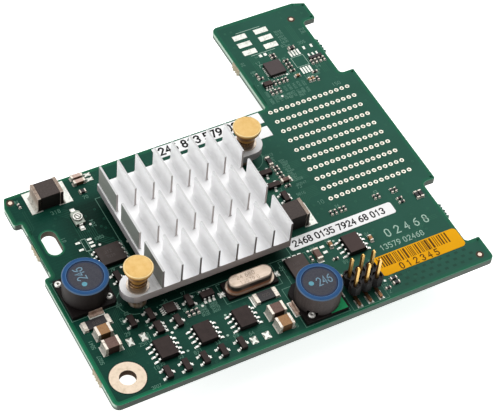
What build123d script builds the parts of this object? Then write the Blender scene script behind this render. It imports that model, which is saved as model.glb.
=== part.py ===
from build123d import *
import math
import os

# Mezzanine network card. Millimetres, +Z up, +X along the rows of connector
# vias, +Y away from the mounting-hole edge. The origin is the axis of the
# mounting hole, at the underside of the circuit board.

# ---------------------------------------------------------------- dimensions
BOARD_T = 1.6
TOP = BOARD_T                 # board's component face
PAD_T = 0.05                  # solder pad thickness
SEAT = TOP + PAD_T            # where leads and end caps stand

HOLE_R = 1.75                 # mounting hole
HOLE_PAD_R = 3.72
SLOT_C = (0.1, 36.65)
SLOT_W, SLOT_L = 3.3, 6.5

VIA_X0, VIA_Y0 = 58.63, 50.10
VIA_PX, VIA_PY = 1.40, 3.00
VIA_COLS, VIA_ROWS = 15, 10
VIA_STAGGER = 0.10
VIA_HOLE_R, VIA_BARREL_R, VIA_PAD_R = 0.24, 0.36, 0.51

SHROUD_X = (57.15, 79.75)
SHROUD_Y = (21.3, 51.9)
SHROUD_WALL, SHROUD_FLOOR, SHROUD_H = 1.2, 2.4, 10.0
CONTACT_W, CONTACT_TIP = 0.40, -5.2

SINK_X = (13.45, 43.25)
SINK_Y = (13.40, 43.35)
SINK_Z0, SINK_Z1, SINK_TOP = TOP + 3.1, TOP + 5.1, TOP + 10.5
FINS, FIN_T, FIN_ROOT_R = 8, 0.46, 0.3
FIN_X0 = 13.77                # left face of the first fin, in from the base's edge
FIN_CUTS = ((21.8, 24.2), (32.6, 34.9))
EAR_R = 3.05
EARS = ((9.15, 16.43), (47.5, 40.3))
PINS = ((9.7, 16.1, TOP + 11.3), (46.95, 40.64, TOP + 10.4))
PIN_R, PIN_HOLE_R, PIN_HEAD_R = 1.15, 1.30, 3.05

INDUCTORS = ((0.9, 21.9), (42.9, 0.97))
IND_BASE, IND_R, IND_TOP = 10.0, 4.8, TOP + 6.2

SOIC = ((9.43, 2.64, 0), (18.27, 2.64, 0), (27.0, 2.64, 180), (56.5, 9.88, 0))

os.makedirs("parts", exist_ok=True)


# ------------------------------------------------------------------- helpers
def block(x0, x1, y0, y1, z0, z1):
    return Pos((x0 + x1) / 2, (y0 + y1) / 2, (z0 + z1) / 2) * Box(x1 - x0, y1 - y0, z1 - z0)


def prism(points, z0, z1):
    return Pos(0, 0, z0) * extrude(make_face(Polyline(*points, close=True)), z1 - z0)


def disc(x, y, r, z0, z1):
    return Pos(x, y, (z0 + z1) / 2) * Cylinder(r, z1 - z0)


def ring(x, y, r0, r1, z0, z1):
    return disc(x, y, r1, z0, z1) - disc(x, y, r0, z0, z1)


def turned(x, y, profile):
    """A solid of revolution about a vertical axis: profile is (radius, z)."""
    face = make_face(Polyline(*[(r, 0, z) for r, z in profile], close=True))
    return Pos(x, y, 0) * revolve(face, Axis.Z, 360)


def stadium(length, width):
    return SlotOverall(length, width)


def solids_of(shapes):
    out = []
    for s in shapes:
        out += list(s.solids())
    return out


def write(name, shapes):
    if not isinstance(shapes, (list, tuple)):
        shapes = [shapes]
    group = solids_of(shapes)
    export_step(Compound(children=[Solid(s.wrapped) for s in group]), f"parts/{name}.step")
    return group


def gull(body, knee, toe, z_body, z_foot, width, t):
    """One bent lead pointing to +X, its shoulder at the body and its foot at the toe."""
    d = t * 0.55
    pts = [
        (body, z_body - t / 2), (knee - d, z_body - t / 2), (knee - d + 0.12, z_foot),
        (toe, z_foot), (toe, z_foot + t), (knee + d + 0.12, z_foot + t),
        (knee + d, z_body + t / 2), (body, z_body + t / 2),
    ]
    face = make_face(Polyline(*[(u, 0, z) for u, z in pts], close=True))
    return Pos(0, width / 2, 0) * extrude(face, width, dir=(0, -1, 0))


PADS = []          # every solder pad, as separate thin solids


def pad(x0, x1, y0, y1):
    PADS.append(block(x0, x1, y0, y1, TOP, SEAT))


def round_pad(x, y, r):
    PADS.append(disc(x, y, r, TOP, SEAT))


def ic(x, y, rot, size, height, lead_sides, toe, foot, width, t, standoff=0.1, bevel=0.12, pads=None, margin=0.08):
    """A moulded package with bent leads. lead_sides gives, for +X and -X, the
    leads' offsets along the other axis. Returns the body and its leads."""
    sx, sy = size
    place = Pos(x, y, 0) * Rot(0, 0, rot)
    z0, z1 = SEAT + standoff, SEAT + standoff + height
    zm = (z0 + z1) / 2
    lower = Pos(0, 0, z0) * extrude(Rectangle(sx - bevel, sy - bevel), zm - z0, taper=-math.degrees(math.atan(bevel / 2 / (zm - z0))))
    upper = Pos(0, 0, zm) * extrude(Rectangle(sx, sy), z1 - zm, taper=math.degrees(math.atan(bevel / 2 / (z1 - zm))))
    body = place * (lower + upper)
    lead = gull(sx / 2, sx / 2 + max(0.15, (toe - foot - sx / 2) * 0.55), toe, zm, SEAT, width, t)
    leads = []
    for side, offsets in lead_sides.items():
        for off in offsets:
            if side == "+":
                leads.append(place * Pos(0, off, 0) * lead)
            else:
                leads.append(place * Pos(0, off, 0) * Rot(0, 0, 180) * lead)
            s = 1 if side == "+" else -1
            inner, outer = (toe - foot - 0.25, toe + 0.45) if pads is None else pads
            PADS.append(place * block(min(s * inner, s * outer), max(s * inner, s * outer),
                                      off - width / 2 - margin, off + width / 2 + margin, TOP, SEAT))
    return body, leads


def chip(x, y, length, width, height, along="x", cap=0.25, pad_out=0.18, pads=True, proud=0.0):
    """A two-ended chip part: the body between two metal end caps."""
    z1 = SEAT + height
    place = Pos(x, y, 0) * Rot(0, 0, 0 if along == "x" else 90)
    body = place * block(-length / 2 + cap, length / 2 - cap, -width / 2 + proud, width / 2 - proud,
                         SEAT + proud, z1 - proud)
    ends = [place * block(-length / 2, -length / 2 + cap, -width / 2, width / 2, SEAT, z1),
            place * block(length / 2 - cap, length / 2, -width / 2, width / 2, SEAT, z1)]
    if pads:
        for s in (-1, 1):
            a, b = s * (length / 2 - cap - 0.05), s * (length / 2 + pad_out)
            PADS.append(place * block(min(a, b), max(a, b), -width / 2 - 0.04, width / 2 + 0.04, TOP, SEAT))
    return body, ends


# --------------------------------------------------------------------- board
outline = [
    ((-5.17, -5.3), 1.5), ((82.28, -5.3), 1.2), ((82.28, 1.0), 0.35), ((79.0, 1.0), 0.9),
    ((79.0, 18.7), 1.1), ((82.28, 18.7), 0.35), ((82.28, 54.35), 0.35), ((78.9, 54.35), 1.0),
    ((78.9, 72.1), 1.0), ((82.28, 72.1), 0.35), ((82.28, 77.4), 0.3), ((79.4, 78.5), 0.3),
    ((58.28, 78.5), 1.5), ((58.28, 51.6), 0.6), ((-4.25, 51.6), 0.5), ((-5.17, 49.1), 0.5),
    ((-5.17, 43.8), 0.8), ((-3.5, 43.8), 0.4), ((-3.5, 28.8), 0.4), ((-5.17, 28.8), 0.8),
]
face = make_face(Polyline(*[p for p, _ in outline], close=True))
for (px, py), r in outline:
    near = min(face.vertices(), key=lambda v: (v.X - px) ** 2 + (v.Y - py) ** 2)
    face = fillet(near, r)


def nub(x, y0, y1, out, teeth):
    """The torn stubs that are left where the board was snapped from its panel."""
    steps = ((0.0, 0.95, 0.12, 0.8, 0.1, 1.0, 0.15, 0.7, 0.08, 0.9, 0.1)[:2 * teeth]) + (0.0,)
    pts = [(x - math.copysign(0.3, out), y0)]
    for i, s in enumerate(steps):
        pts.append((x + out * s, y0 + (y1 - y0) * i / (len(steps) - 1)))
    pts.append((x - math.copysign(0.3, out), y1))
    return make_face(Polyline(*pts, close=True))


for spec in ((-3.5, 34.3, 38.3, -0.5, 5), (-5.17, 0.9, 4.9, -0.4, 5), (58.28, 64.1, 67.3, -0.6, 4),
             (78.9, 61.5, 66.0, 0.62, 5), (79.0, 8.1, 12.2, 0.62, 5)):
    face = face + nub(*spec)

via_points = [
    (VIA_X0 + VIA_PX * j + (VIA_STAGGER if i % 2 else 0.0), VIA_Y0 - VIA_PY * i)
    for i in range(VIA_ROWS) for j in range(VIA_COLS)
]
face = face - Circle(HOLE_R)
face = face - Pos(*SLOT_C) * Rot(0, 0, 90) * SlotOverall(SLOT_L, SLOT_W)
for px, py, _ in PINS:
    face = face - Pos(px, py) * Circle(PIN_HOLE_R)
face = face - [Pos(x, y) * Circle(VIA_BARREL_R) for x, y in via_points]
write("circuit_board", extrude(face, BOARD_T))

write("mounting_pads", [ring(0, 0, HOLE_R, HOLE_PAD_R, TOP, SEAT), ring(0, 0, HOLE_R, HOLE_PAD_R, -PAD_T, 0)])

# --------------------------------------------- press-fit connector below
barrel = turned(0, 0, [(VIA_HOLE_R, 0), (VIA_BARREL_R, 0), (VIA_BARREL_R, TOP), (VIA_PAD_R, TOP),
                       (VIA_PAD_R, TOP + 0.04), (VIA_HOLE_R, TOP + 0.04)])
write("connector_vias", [Pos(x, y, 0) * barrel for x, y in via_points])

shroud = block(*SHROUD_X, *SHROUD_Y, -SHROUD_H, 0)
shroud = shroud - block(SHROUD_X[0] + SHROUD_WALL, SHROUD_X[1] - SHROUD_WALL,
                        SHROUD_Y[0] + SHROUD_WALL, SHROUD_Y[1] - SHROUD_WALL, -SHROUD_H - 1, -SHROUD_FLOOR)
for x0 in (62.0, 72.9):     # polarising notches in the front wall
    shroud = shroud - block(x0, x0 + 2.0, SHROUD_Y[0] - 1, SHROUD_Y[0] + SHROUD_WALL + 0.5, -SHROUD_H - 1, -SHROUD_H + 4.5)
shroud = chamfer(shroud.edges().filter_by(Axis.Z).group_by(Axis.Y)[-1], 0.6)
holes = Sketch() + [Pos(x, y) * Rectangle(CONTACT_W, CONTACT_W) for x, y in via_points]
shroud = shroud - Pos(0, 0, -SHROUD_FLOOR - 0.5) * extrude(holes, SHROUD_FLOOR + 1)
write("connector_housing", shroud)

tip = 0.35
contact = block(-CONTACT_W / 2, CONTACT_W / 2, -CONTACT_W / 2, CONTACT_W / 2, CONTACT_TIP + tip, 0)
contact += Pos(0, 0, CONTACT_TIP + tip) * Rot(180, 0, 0) * extrude(Rectangle(CONTACT_W, CONTACT_W), tip, taper=18)
contact += block(-0.16, 0.16, -0.16, 0.16, 0, TOP - 0.35)
write("connector_contacts", [Pos(x, y, 0) * contact for x, y in via_points])

# ----------------------------------------------------------------- heat sink
# A base plate with eight fins, cut across twice. The fins are solids of their
# own, which stand on the plate between the small radii at their roots.
pitch = (SINK_X[1] - FIN_X0 - FIN_T) / (FINS - 1)
r = FIN_ROOT_R
pts = [(SINK_X[0], SINK_Z0), (SINK_X[1], SINK_Z0), (SINK_X[1], SINK_Z1)]
for i in reversed(range(FINS)):
    a = FIN_X0 + pitch * i
    b = a + FIN_T
    if i < FINS - 1:
        pts += [(b + r, SINK_Z1), (b + 0.29 * r, SINK_Z1 + 0.29 * r), (b, SINK_Z1 + r), (b, SINK_Z1)]
    if i > 0:
        pts += [(a, SINK_Z1), (a, SINK_Z1 + r), (a - 0.29 * r, SINK_Z1 + 0.29 * r), (a - r, SINK_Z1)]
pts += [(SINK_X[0], SINK_Z1)]
sink = extrude(make_face(Polyline(*[(x, SINK_Y[0], z) for x, z in pts], close=True)), SINK_Y[1] - SINK_Y[0], dir=(0, 1, 0))
for y0, y1 in FIN_CUTS:
    sink = sink - block(SINK_X[0] - 1, SINK_X[1] + 1, y0, y1, SINK_Z1, SINK_TOP + 1)
write("heat_sink", sink)
fins = []
for i in range(FINS):
    a = FIN_X0 + pitch * i
    for y0, y1 in ((SINK_Y[0], FIN_CUTS[0][0]), (FIN_CUTS[0][1], FIN_CUTS[1][0]), (FIN_CUTS[1][1], SINK_Y[1])):
        fins.append(block(a, a + FIN_T, y0, y1, SINK_Z1, SINK_TOP))
write("heat_sink_fins", fins)

# The round ears stand at two opposite corners of the base, flush with it.
(e1x, e1y), (e2x, e2y) = EARS
ear1 = block(e1x, SINK_X[0], e1y - EAR_R + 0.02, e1y + EAR_R, SINK_Z0, SINK_Z1) + disc(e1x, e1y, EAR_R, SINK_Z0, SINK_Z1)
ear2 = block(SINK_X[1], e2x, e2y - EAR_R, e2y + EAR_R, SINK_Z0, SINK_Z1) + disc(e2x, e2y, EAR_R, SINK_Z0, SINK_Z1)
ears = []
for ear, (px, py, _) in zip((ear1, ear2), PINS):
    ears.append(ear - disc(px, py, PIN_HOLE_R, SINK_Z0 - 1, SINK_Z1 + 1))
write("heat_sink_ears", ears)

write("controller_package", [block(15.9, 40.8, 15.9, 40.8, TOP, TOP + 1.4) + block(17.4, 39.3, 17.4, 39.3, TOP + 1.4, TOP + 2.6)])
write("thermal_pad", [block(18.0, 38.7, 18.0, 38.7, TOP + 2.6, SINK_Z0)])

# Spring pins: a brass push pin through each ear, its spring and its spacer.
pins, springs, washers, sleeves = [], [], [], []
for px, py, zt in PINS:
    zn = zt - 3.15
    pins.append(turned(px, py, [
        (0, zt - 0.03), (2.60, zt - 0.03), (2.72, zt), (2.92, zt - 0.02), (PIN_HEAD_R, zt - 0.16), (PIN_HEAD_R, zt - 0.45),
        (2.95, zt - 0.85), (2.65, zt - 1.45), (2.15, zt - 2.4), (2.0, zn), (PIN_R, zn), (PIN_R, 0), (1.7, 0), (1.7, -0.35),
        (0.75, -2.2), (0, -2.2),
    ]))
    washers.append(ring(px, py, PIN_HOLE_R + 0.05, 2.35, SINK_Z1, SINK_Z1 + 0.3))
    z0, z1, wire = SINK_Z1 + 0.3 + 0.24, zn - 0.24, 0.22
    helix = Helix(pitch=(z1 - z0) / 2.5, height=z1 - z0, radius=1.72)
    coil = sweep(Plane(origin=helix @ 0, z_dir=helix % 0) * Circle(wire), path=helix, is_frenet=True)
    springs.append(Pos(px, py, z0) * coil)
    sleeves.append(ring(px, py, PIN_HOLE_R, 1.95, TOP, SINK_Z0))
write("spring_pins", pins)
write("pin_springs", springs)
write("pin_washers", washers)
write("pin_sleeves", sleeves)

# ----------------------------------------------------------------- inductors
bases, shells, drums, terminals = [], [], [], []
for n, (cx, cy) in enumerate(INDUCTORS):
    h, c = IND_BASE / 2, 1.7
    zb = SEAT + 0.95
    # one corner of the base is cut off, and the next one round is rounded
    if n == 0:
        base = prism([(cx - h, cy - h), (cx + h - 0.7, cy - h), (cx + h, cy - h + 0.7), (cx + h, cy + h - c),
                      (cx + h - c, cy + h), (cx - h, cy + h)], SEAT, zb)
    else:
        base = prism([(cx - h, cy - h), (cx + h - 0.4, cy - h), (cx + h, cy - h + 0.4), (cx + h, cy + h),
                      (cx - h + c, cy + h), (cx - h, cy + h - c)], SEAT, zb)
    bases.append(base)
    shell = turned(cx, cy, [(3.75, zb), (IND_R - 0.1, zb), (IND_R, zb + 0.1), (IND_R, IND_TOP - 0.25), (IND_R - 0.2, IND_TOP - 0.05),
                            (IND_R - 0.35, IND_TOP), (3.85, IND_TOP), (3.75, IND_TOP - 0.1)])
    # the ring is arched at two corners, where the winding's ends are soldered
    for a, d in ((-39.0, 4.97), (138.0, 5.72)) if n == 0 else ((228.0, 4.80), (48.0, 4.97)):
        notch = Box(2.6, 2.4, 1.1, align=(Align.MIN, Align.CENTER, Align.MIN))
        shell = shell - Pos(cx, cy, zb - 0.1) * Rot(0, 0, a) * Pos(3.9, 0, 0) * notch
        jx, jy = cx + d * math.cos(math.radians(a)), cy + d * math.sin(math.radians(a))
        joint = [(0.20, zb), (0.78, zb), (0.72, zb + 0.2), (0.55, zb + 0.34), (0.35, zb + 0.34), (0.24, zb + 0.22)]
        terminals.append(turned(jx, jy, joint))
    shells.append(shell)
    drums.append(turned(cx, cy, [(0, zb), (3.72, zb), (3.72, IND_TOP - 0.22), (3.65, IND_TOP - 0.15), (0, IND_TOP - 0.15)]))
    if n == 0:      # straps leave the front of the base
        for x0, x1, y0 in ((-0.75, 2.35, 16.0),):
            terminals.append(block(x0, x1, y0, cy - h, SEAT, SEAT + 0.22))
            terminals.append(block(x0 + 0.1, x1 - 0.1, cy - h - 0.22, cy - h, SEAT + 0.22, SEAT + 0.93))
            pad(x0 - 0.15, x1 + 0.15, y0 - 0.25, cy - h)
        terminals.append(block(-0.6, 2.4, cy + h, cy + h + 0.55, SEAT, SEAT + 0.22))
        pad(-0.9, 2.7, cy + h, cy + h + 0.8)
    else:
        terminals.append(block(37.15, cx - h, -0.9, 2.4, SEAT, SEAT + 0.22))
        terminals.append(block(cx - h - 0.22, cx - h, -0.75, 2.3, SEAT + 0.22, SEAT + 0.93))
        pad(36.85, cx - h, -1.2, 2.7)
        terminals.append(block(cx + h, cx + h + 0.5, -0.6, 2.5, SEAT, SEAT + 0.22))
        pad(cx + h, cx + h + 0.7, -0.9, 2.8)
write("inductor_bases", bases)
write("inductor_shells", shells)
write("inductor_drums", drums)
write("inductor_terminals", terminals)

# --------------------------------------------------- large ceramic chip parts
block_bodies, block_caps = [], []
for x0, x1, y0, y1, h in ((0.85, 6.65, 45.2, 49.7, 4.1), (45.0, 50.8, 18.6, 23.3, 4.1)):
    b, e = chip((x0 + x1) / 2, (y0 + y1) / 2, x1 - x0, y1 - y0, h, cap=0.72, pads=False, proud=0.06)
    block_bodies.append(b)
    block_caps += e
pad(-0.5, 2.0, 45.1, 51.1)
pad(5.7, 8.8, 45.1, 51.1)
pad(43.6, 46.0, 18.35, 24.5)
pad(50.0, 52.9, 18.35, 24.5)
write("large_capacitor_bodies", block_bodies)
write("large_capacitor_ends", block_caps)

# ------------------------------------------------------------------- crystal
cx, cy = 32.2, 10.15
zb = SEAT
insulator = block(cx - 5.7, cx + 5.7, cy - 2.2, cy + 2.2, zb, zb + 0.75)
for s in (-1, 1):
    insulator = insulator - block(cx + s * 5.35 - 0.4, cx + s * 5.35 + 0.4, cy - 0.4, cy + 0.4, zb - 1, zb + 0.25)
can = Pos(cx, cy, zb + 0.75) * extrude(stadium(10.8, 4.3), 0.3)
wall = Pos(cx, cy, zb + 1.05) * extrude(stadium(9.9, 3.5), TOP + 3.1 - zb - 1.05, taper=1.5)
wall = fillet(wall.faces().sort_by(Axis.Z)[-1].edges(), 0.4)
write("crystal_base", insulator)
write("crystal_can", can + wall)
write("crystal_leads", [block(cx - 6.5, cx - 5.75 + 0.35, cy - 0.25, cy + 0.25, zb, zb + 0.2),
                        block(cx + 5.75 - 0.35, cx + 6.5, cy - 0.25, cy + 0.25, zb, zb + 0.2)])
pad(25.2, 26.45, 9.5, 10.8)
pad(37.95, 39.15, 9.5, 10.8)

# ------------------------------------------------------------ SO-8 packages
bodies, leads = [], []
for x, y, rot in SOIC:
    offs = [-1.905, -0.635, 0.635, 1.905]
    b, l = ic(x, y, rot, (3.9, 4.9), 1.4, {"+": offs, "-": offs}, 3.05, 0.62, 0.42, 0.2, pads=(2.25, 3.32), bevel=0.3, margin=0.0)
    bodies.append(b)
    leads += l
write("so8_bodies", bodies)
write("so8_leads", leads)

# ------------------------------------------------------ three-lead transistors
bodies, leads = [], []
SOT = [(7.55, -2.5, 0), (11.6, -2.5, 0), (15.65, -2.5, 0), (19.75, -2.5, 0), (23.9, -2.5, 0),
       (6.35, 11.5, 0), (10.4, 11.45, 0), (18.95, 11.3, 180), (14.85, 7.75, 0), (8.55, 22.65, 0),
       (49.1, 34.75, -90), (49.1, 30.95, -90)]
for x, y, rot in SOT:
    b, l = ic(x, y, rot, (1.3, 2.9), 0.95, {"+": [0.0], "-": [-0.95, 0.95]}, 1.2, 0.3, 0.42, 0.14, standoff=0.05, pads=(0.8, 1.45))
    bodies.append(b)
    leads += l
write("transistor_bodies", bodies)
write("transistor_leads", leads)

# ------------------------------------------------------ small multi-lead chips
bodies, leads = [], []
b, l = ic(10.6, 7.9, 0, (1.6, 2.9), 1.0, {"+": [-0.95, 0, 0.95], "-": [-0.95, 0.95]}, 1.4, 0.35, 0.4, 0.14, standoff=0.05, pads=(0.95, 1.65))
bodies.append(b); leads += l
b, l = ic(14.75, 11.35, 0, (2.4, 2.4), 0.75, {"+": [-0.75, -0.25, 0.25, 0.75], "-": [-0.75, -0.25, 0.25, 0.75]},
          1.8, 0.35, 0.22, 0.12, standoff=0.05, pads=(1.3, 2.0), margin=0.02)
bodies.append(b); leads += l
b, l = ic(23.0, 11.2, 90, (1.6, 2.9), 1.0, {"+": [-0.95, 0, 0.95], "-": [-0.95, 0, 0.95]}, 1.4, 0.35, 0.4, 0.14, standoff=0.05, pads=(0.95, 1.65))
bodies.append(b); leads += l
b, l = ic(49.85, 27.15, 0, (1.3, 2.7), 0.95, {"+": [-0.5, 0.5], "-": [-0.95, 0.95]}, 1.2, 0.3, 0.4, 0.14, standoff=0.05, pads=(0.8, 1.4))
bodies.append(b); leads += l
b, l = ic(61.9, 57.5, 90, (1.3, 2.1), 0.9, {"+": [-0.65, 0, 0.65], "-": [-0.65, 0, 0.65]}, 1.1, 0.25, 0.28, 0.12, standoff=0.05, pads=(0.8, 1.3))
bodies.append(b); leads += l
write("small_chip_bodies", bodies)
write("small_chip_leads", leads)

# Leadless chip on the tab, with a row of terminals on each side.
qx, qy, qs = 65.65, 61.3, 4.0
write("leadless_chip", [block(qx - qs / 2, qx + qs / 2, qy - qs / 2, qy + qs / 2, SEAT, SEAT + 0.85)])
for k in range(6):
    o = -1.25 + 0.5 * k
    pad(qx - qs / 2 - 0.35, qx - qs / 2 + 0.25, qy + o - 0.14, qy + o + 0.14)
    pad(qx + qs / 2 - 0.25, qx + qs / 2 + 0.35, qy + o - 0.14, qy + o + 0.14)
    pad(qx + o - 0.14, qx + o + 0.14, qy - qs / 2 - 0.35, qy - qs / 2 + 0.25)
    pad(qx + o - 0.14, qx + o + 0.14, qy + qs / 2 - 0.25, qy + qs / 2 + 0.35)

# ---------------------------------------------------------- power transistors
bodies, leads = [], []
b, l = ic(9.68, 28.55, 0, (5.5, 4.9), 1.0, {"+": [-1.905, -0.635, 0.635, 1.905], "-": [-1.905, -0.635, 0.635, 1.905]},
          3.15, 0.3, 0.45, 0.24, standoff=0.0, pads=(2.9, 3.5), bevel=0.2)
bodies.append(b); leads += l
b, l = ic(43.4, 9.45, 90, (5.5, 4.6), 1.0, {"+": [-1.8, -0.6, 0.6, 1.8], "-": [-1.8, -0.6, 0.6, 1.8]},
          3.15, 0.3, 0.45, 0.24, standoff=0.0, pads=(2.9, 3.5), bevel=0.2)
bodies.append(b); leads += l
write("power_chip_bodies", bodies)
write("power_chip_leads", leads)

# ---------------------------------------------------------------- pin header
HX, HY, HP = (50.2, 52.735, 55.27), (-1.37, 1.17), 2.535
body, posts = None, []
for x in HX:
    for n, y in enumerate(HY):
        w, d, c = HP / 2, (HY[1] - HY[0]) / 2, 0.7
        octo = prism([(x - w + c, y - d), (x + w - c, y - d), (x + w, y - d + c), (x + w, y + d - c),
                      (x + w - c, y + d), (x - w + c, y + d), (x - w, y + d - c), (x - w, y - d + c)], TOP + 1.7, TOP + 4.2)
        octo = octo - block(x - 0.32, x + 0.32, y - 0.32, y + 0.32, TOP + 1, TOP + 5)
        w, d, c = w - 0.28, d - 0.28, 0.6       # a shallow pocket round the pin
        octo = octo - prism([(x - w + c, y - d), (x + w - c, y - d), (x + w, y - d + c), (x + w, y + d - c),
                             (x + w - c, y + d), (x - w + c, y + d), (x - w, y + d - c), (x - w, y - d + c)], TOP + 3.6, TOP + 4.3)
        body = octo if body is None else body + octo
        s = -1 if n == 0 else 1
        post = block(x - 0.32, x + 0.32, y - 0.32, y + 0.32, SEAT, TOP + 9.1)
        post += Pos(x, y, TOP + 9.1) * extrude(Rectangle(0.64, 0.64), 0.4, taper=24)
        y0, y1 = sorted((y, y + s * 2.85))
        post += block(x - 0.32, x + 0.32, y0, y1, SEAT, SEAT + 0.5)
        posts.append(post)
        y0, y1 = sorted((y + s * 1.0, y + s * 3.2))
        pad(x - 0.62, x + 0.62, y0, y1)
write("header_body", body)
write("header_pins", posts)

# ---------------------------------------------------------- sense resistors
bodies, ends = [], []
for x0, x1, y0, y1 in ((31.2, 36.4, 4.8, 7.2), (-3.1, 2.75, 13.1, 15.35)):
    b, e = chip((x0 + x1) / 2, (y0 + y1) / 2, x1 - x0, y1 - y0, 0.6, cap=0.85, pad_out=0.3, proud=0.03)
    bodies.append(b)
    ends += e
write("sense_resistor_bodies", bodies)
write("sense_resistor_ends", ends)

# ------------------------------------------------------------ ceramic chips
mauve, tan, black, caps = [], [], [], []


def add(store, *args, **kw):
    b, e = chip(*args, **kw)
    store.append(b)
    caps.extend(e)


for x, y, l, w, h, along, cap in (
        (0.05, 7.6, 3.5, 2.5, 2.2, "x", 0.55), (33.7, 1.35, 3.4, 2.5, 2.2, "x", 0.55),
        (48.55, 10.75, 2.9, 1.3, 1.0, "y", 0.45), (52.15, 31.3, 2.25, 1.0, 0.9, "x", 0.4)):
    add(mauve, x, y, l, w, h, along, cap=cap, pad_out=0.5, proud=0.03)
for x, y, l, w, h, along, cap in (
        (0.0, 11.3, 3.2, 2.4, 2.0, "x", 0.55), (33.75, -2.0, 3.3, 2.6, 2.0, "x", 0.55),
        (11.9, 50.5, 2.6, 1.0, 0.95, "x", 0.45), (11.9, 49.0, 2.6, 1.0, 0.95, "x", 0.45),
        (52.35, 12.05, 1.5, 0.75, 0.7, "y", 0.3), (69.5, 57.4, 1.2, 0.65, 0.5, "x", 0.25),
        (71.4, 55.2, 1.1, 0.6, 0.5, "y", 0.25), (72.3, 55.2, 1.1, 0.6, 0.5, "y", 0.25),
        (60.9, 10.0, 1.5, 0.75, 0.6, "y", 0.3)):
    add(tan, x, y, l, w, h, along, cap=cap, proud=0.02)
for x, y, l, w, h, along, cap in (
        (17.5, 8.6, 1.25, 0.55, 0.38, "y", 0.28), (18.55, 8.6, 1.25, 0.55, 0.38, "y", 0.28), (19.6, 8.6, 1.25, 0.55, 0.38, "y", 0.28),
        (61.7, 55.1, 1.2, 0.5, 0.38, "y", 0.28), (62.7, 55.1, 1.2, 0.5, 0.38, "y", 0.28), (63.7, 55.1, 1.2, 0.5, 0.38, "y", 0.28),
        (63.7, 57.45, 1.15, 0.5, 0.38, "y", 0.28), (64.7, 57.45, 1.15, 0.5, 0.38, "y", 0.28),
        (65.75, 57.45, 1.15, 0.5, 0.38, "y", 0.28), (66.65, 57.45, 1.15, 0.5, 0.38, "y", 0.28),
        (69.25, 62.6, 1.2, 0.5, 0.38, "x", 0.28), (69.25, 61.5, 1.2, 0.5, 0.38, "x", 0.28),
        (69.25, 60.5, 1.2, 0.5, 0.38, "x", 0.28), (69.25, 59.3, 1.2, 0.5, 0.38, "x", 0.28),
        (67.25, 64.55, 1.2, 0.5, 0.38, "x", 0.28), (67.25, 65.4, 1.2, 0.5, 0.38, "x", 0.28),
        (56.8, 19.4, 1.15, 0.5, 0.38, "y", 0.28), (57.8, 19.4, 1.15, 0.5, 0.38, "y", 0.28),
        (59.0, 19.4, 1.15, 0.5, 0.38, "y", 0.28), (60.0, 19.4, 1.15, 0.5, 0.38, "y", 0.28),
        (67.4, 19.4, 1.15, 0.5, 0.38, "y", 0.28), (68.4, 19.4, 1.15, 0.5, 0.38, "y", 0.28),
        (71.65, 19.4, 1.15, 0.5, 0.38, "y", 0.28), (72.6, 19.4, 1.15, 0.5, 0.38, "y", 0.28),
        (72.15, 16.95, 1.25, 0.5, 0.38, "x", 0.28), (72.15, 15.9, 1.25, 0.5, 0.38, "x", 0.28),
        (76.0, 16.1, 1.9, 0.75, 0.5, "y", 0.35), (77.0, 16.1, 1.9, 0.75, 0.5, "y", 0.35),
        (57.75, -2.7, 1.2, 0.5, 0.38, "x", 0.28), (60.0, -1.0, 1.5, 0.7, 0.45, "x", 0.3), (60.0, -2.2, 1.5, 0.7, 0.45, "x", 0.3),
        (51.5, 37.5, 2.4, 0.95, 0.6, "y", 0.45),
        (51.98, 35.6, 1.2, 0.5, 0.38, "x", 0.28), (51.98, 34.75, 1.2, 0.5, 0.38, "x", 0.28), (51.98, 33.7, 1.2, 0.5, 0.38, "x", 0.28),
        (51.98, 32.65, 1.2, 0.5, 0.38, "x", 0.28), (51.98, 29.9, 1.2, 0.5, 0.38, "x", 0.28),
        (51.6, 8.4, 1.2, 0.5, 0.38, "x", 0.28),
        (61.1, 61.0, 1.15, 0.5, 0.38, "y", 0.28), (61.45, 59.9, 1.2, 0.5, 0.38, "x", 0.28),
        (72.35, 65.6, 1.5, 0.85, 0.5, "x", 0.3), (73.3, 54.85, 1.1, 0.5, 0.38, "y", 0.28), (73.7, 56.95, 1.2, 0.5, 0.38, "x", 0.28),
        (11.55, 46.5, 1.4, 0.9, 0.5, "x", 0.3), (-2.1, 48.3, 1.15, 0.5, 0.38, "y", 0.28),
        (47.0, 10.5, 1.2, 0.5, 0.38, "y", 0.28), (74.6, 59.83, 1.3, 0.5, 0.38, "y", 0.4),
        (75.6, 59.83, 1.3, 0.5, 0.38, "y", 0.4), (76.6, 59.83, 1.3, 0.5, 0.38, "y", 0.4), (77.6, 59.83, 1.3, 0.5, 0.38, "y", 0.4)):
    add(black, x, y, l, w, h, along, cap=cap, pad_out=0.12, proud=0.01)
black.append(block(74.55, 77.65, 60.62, 61.42, SEAT, SEAT + 0.45))      # a flat array beside them
write("capacitor_bodies_mauve", mauve)
write("capacitor_bodies_tan", tan)
write("chip_resistor_bodies", black)
write("chip_end_caps", caps)

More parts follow.
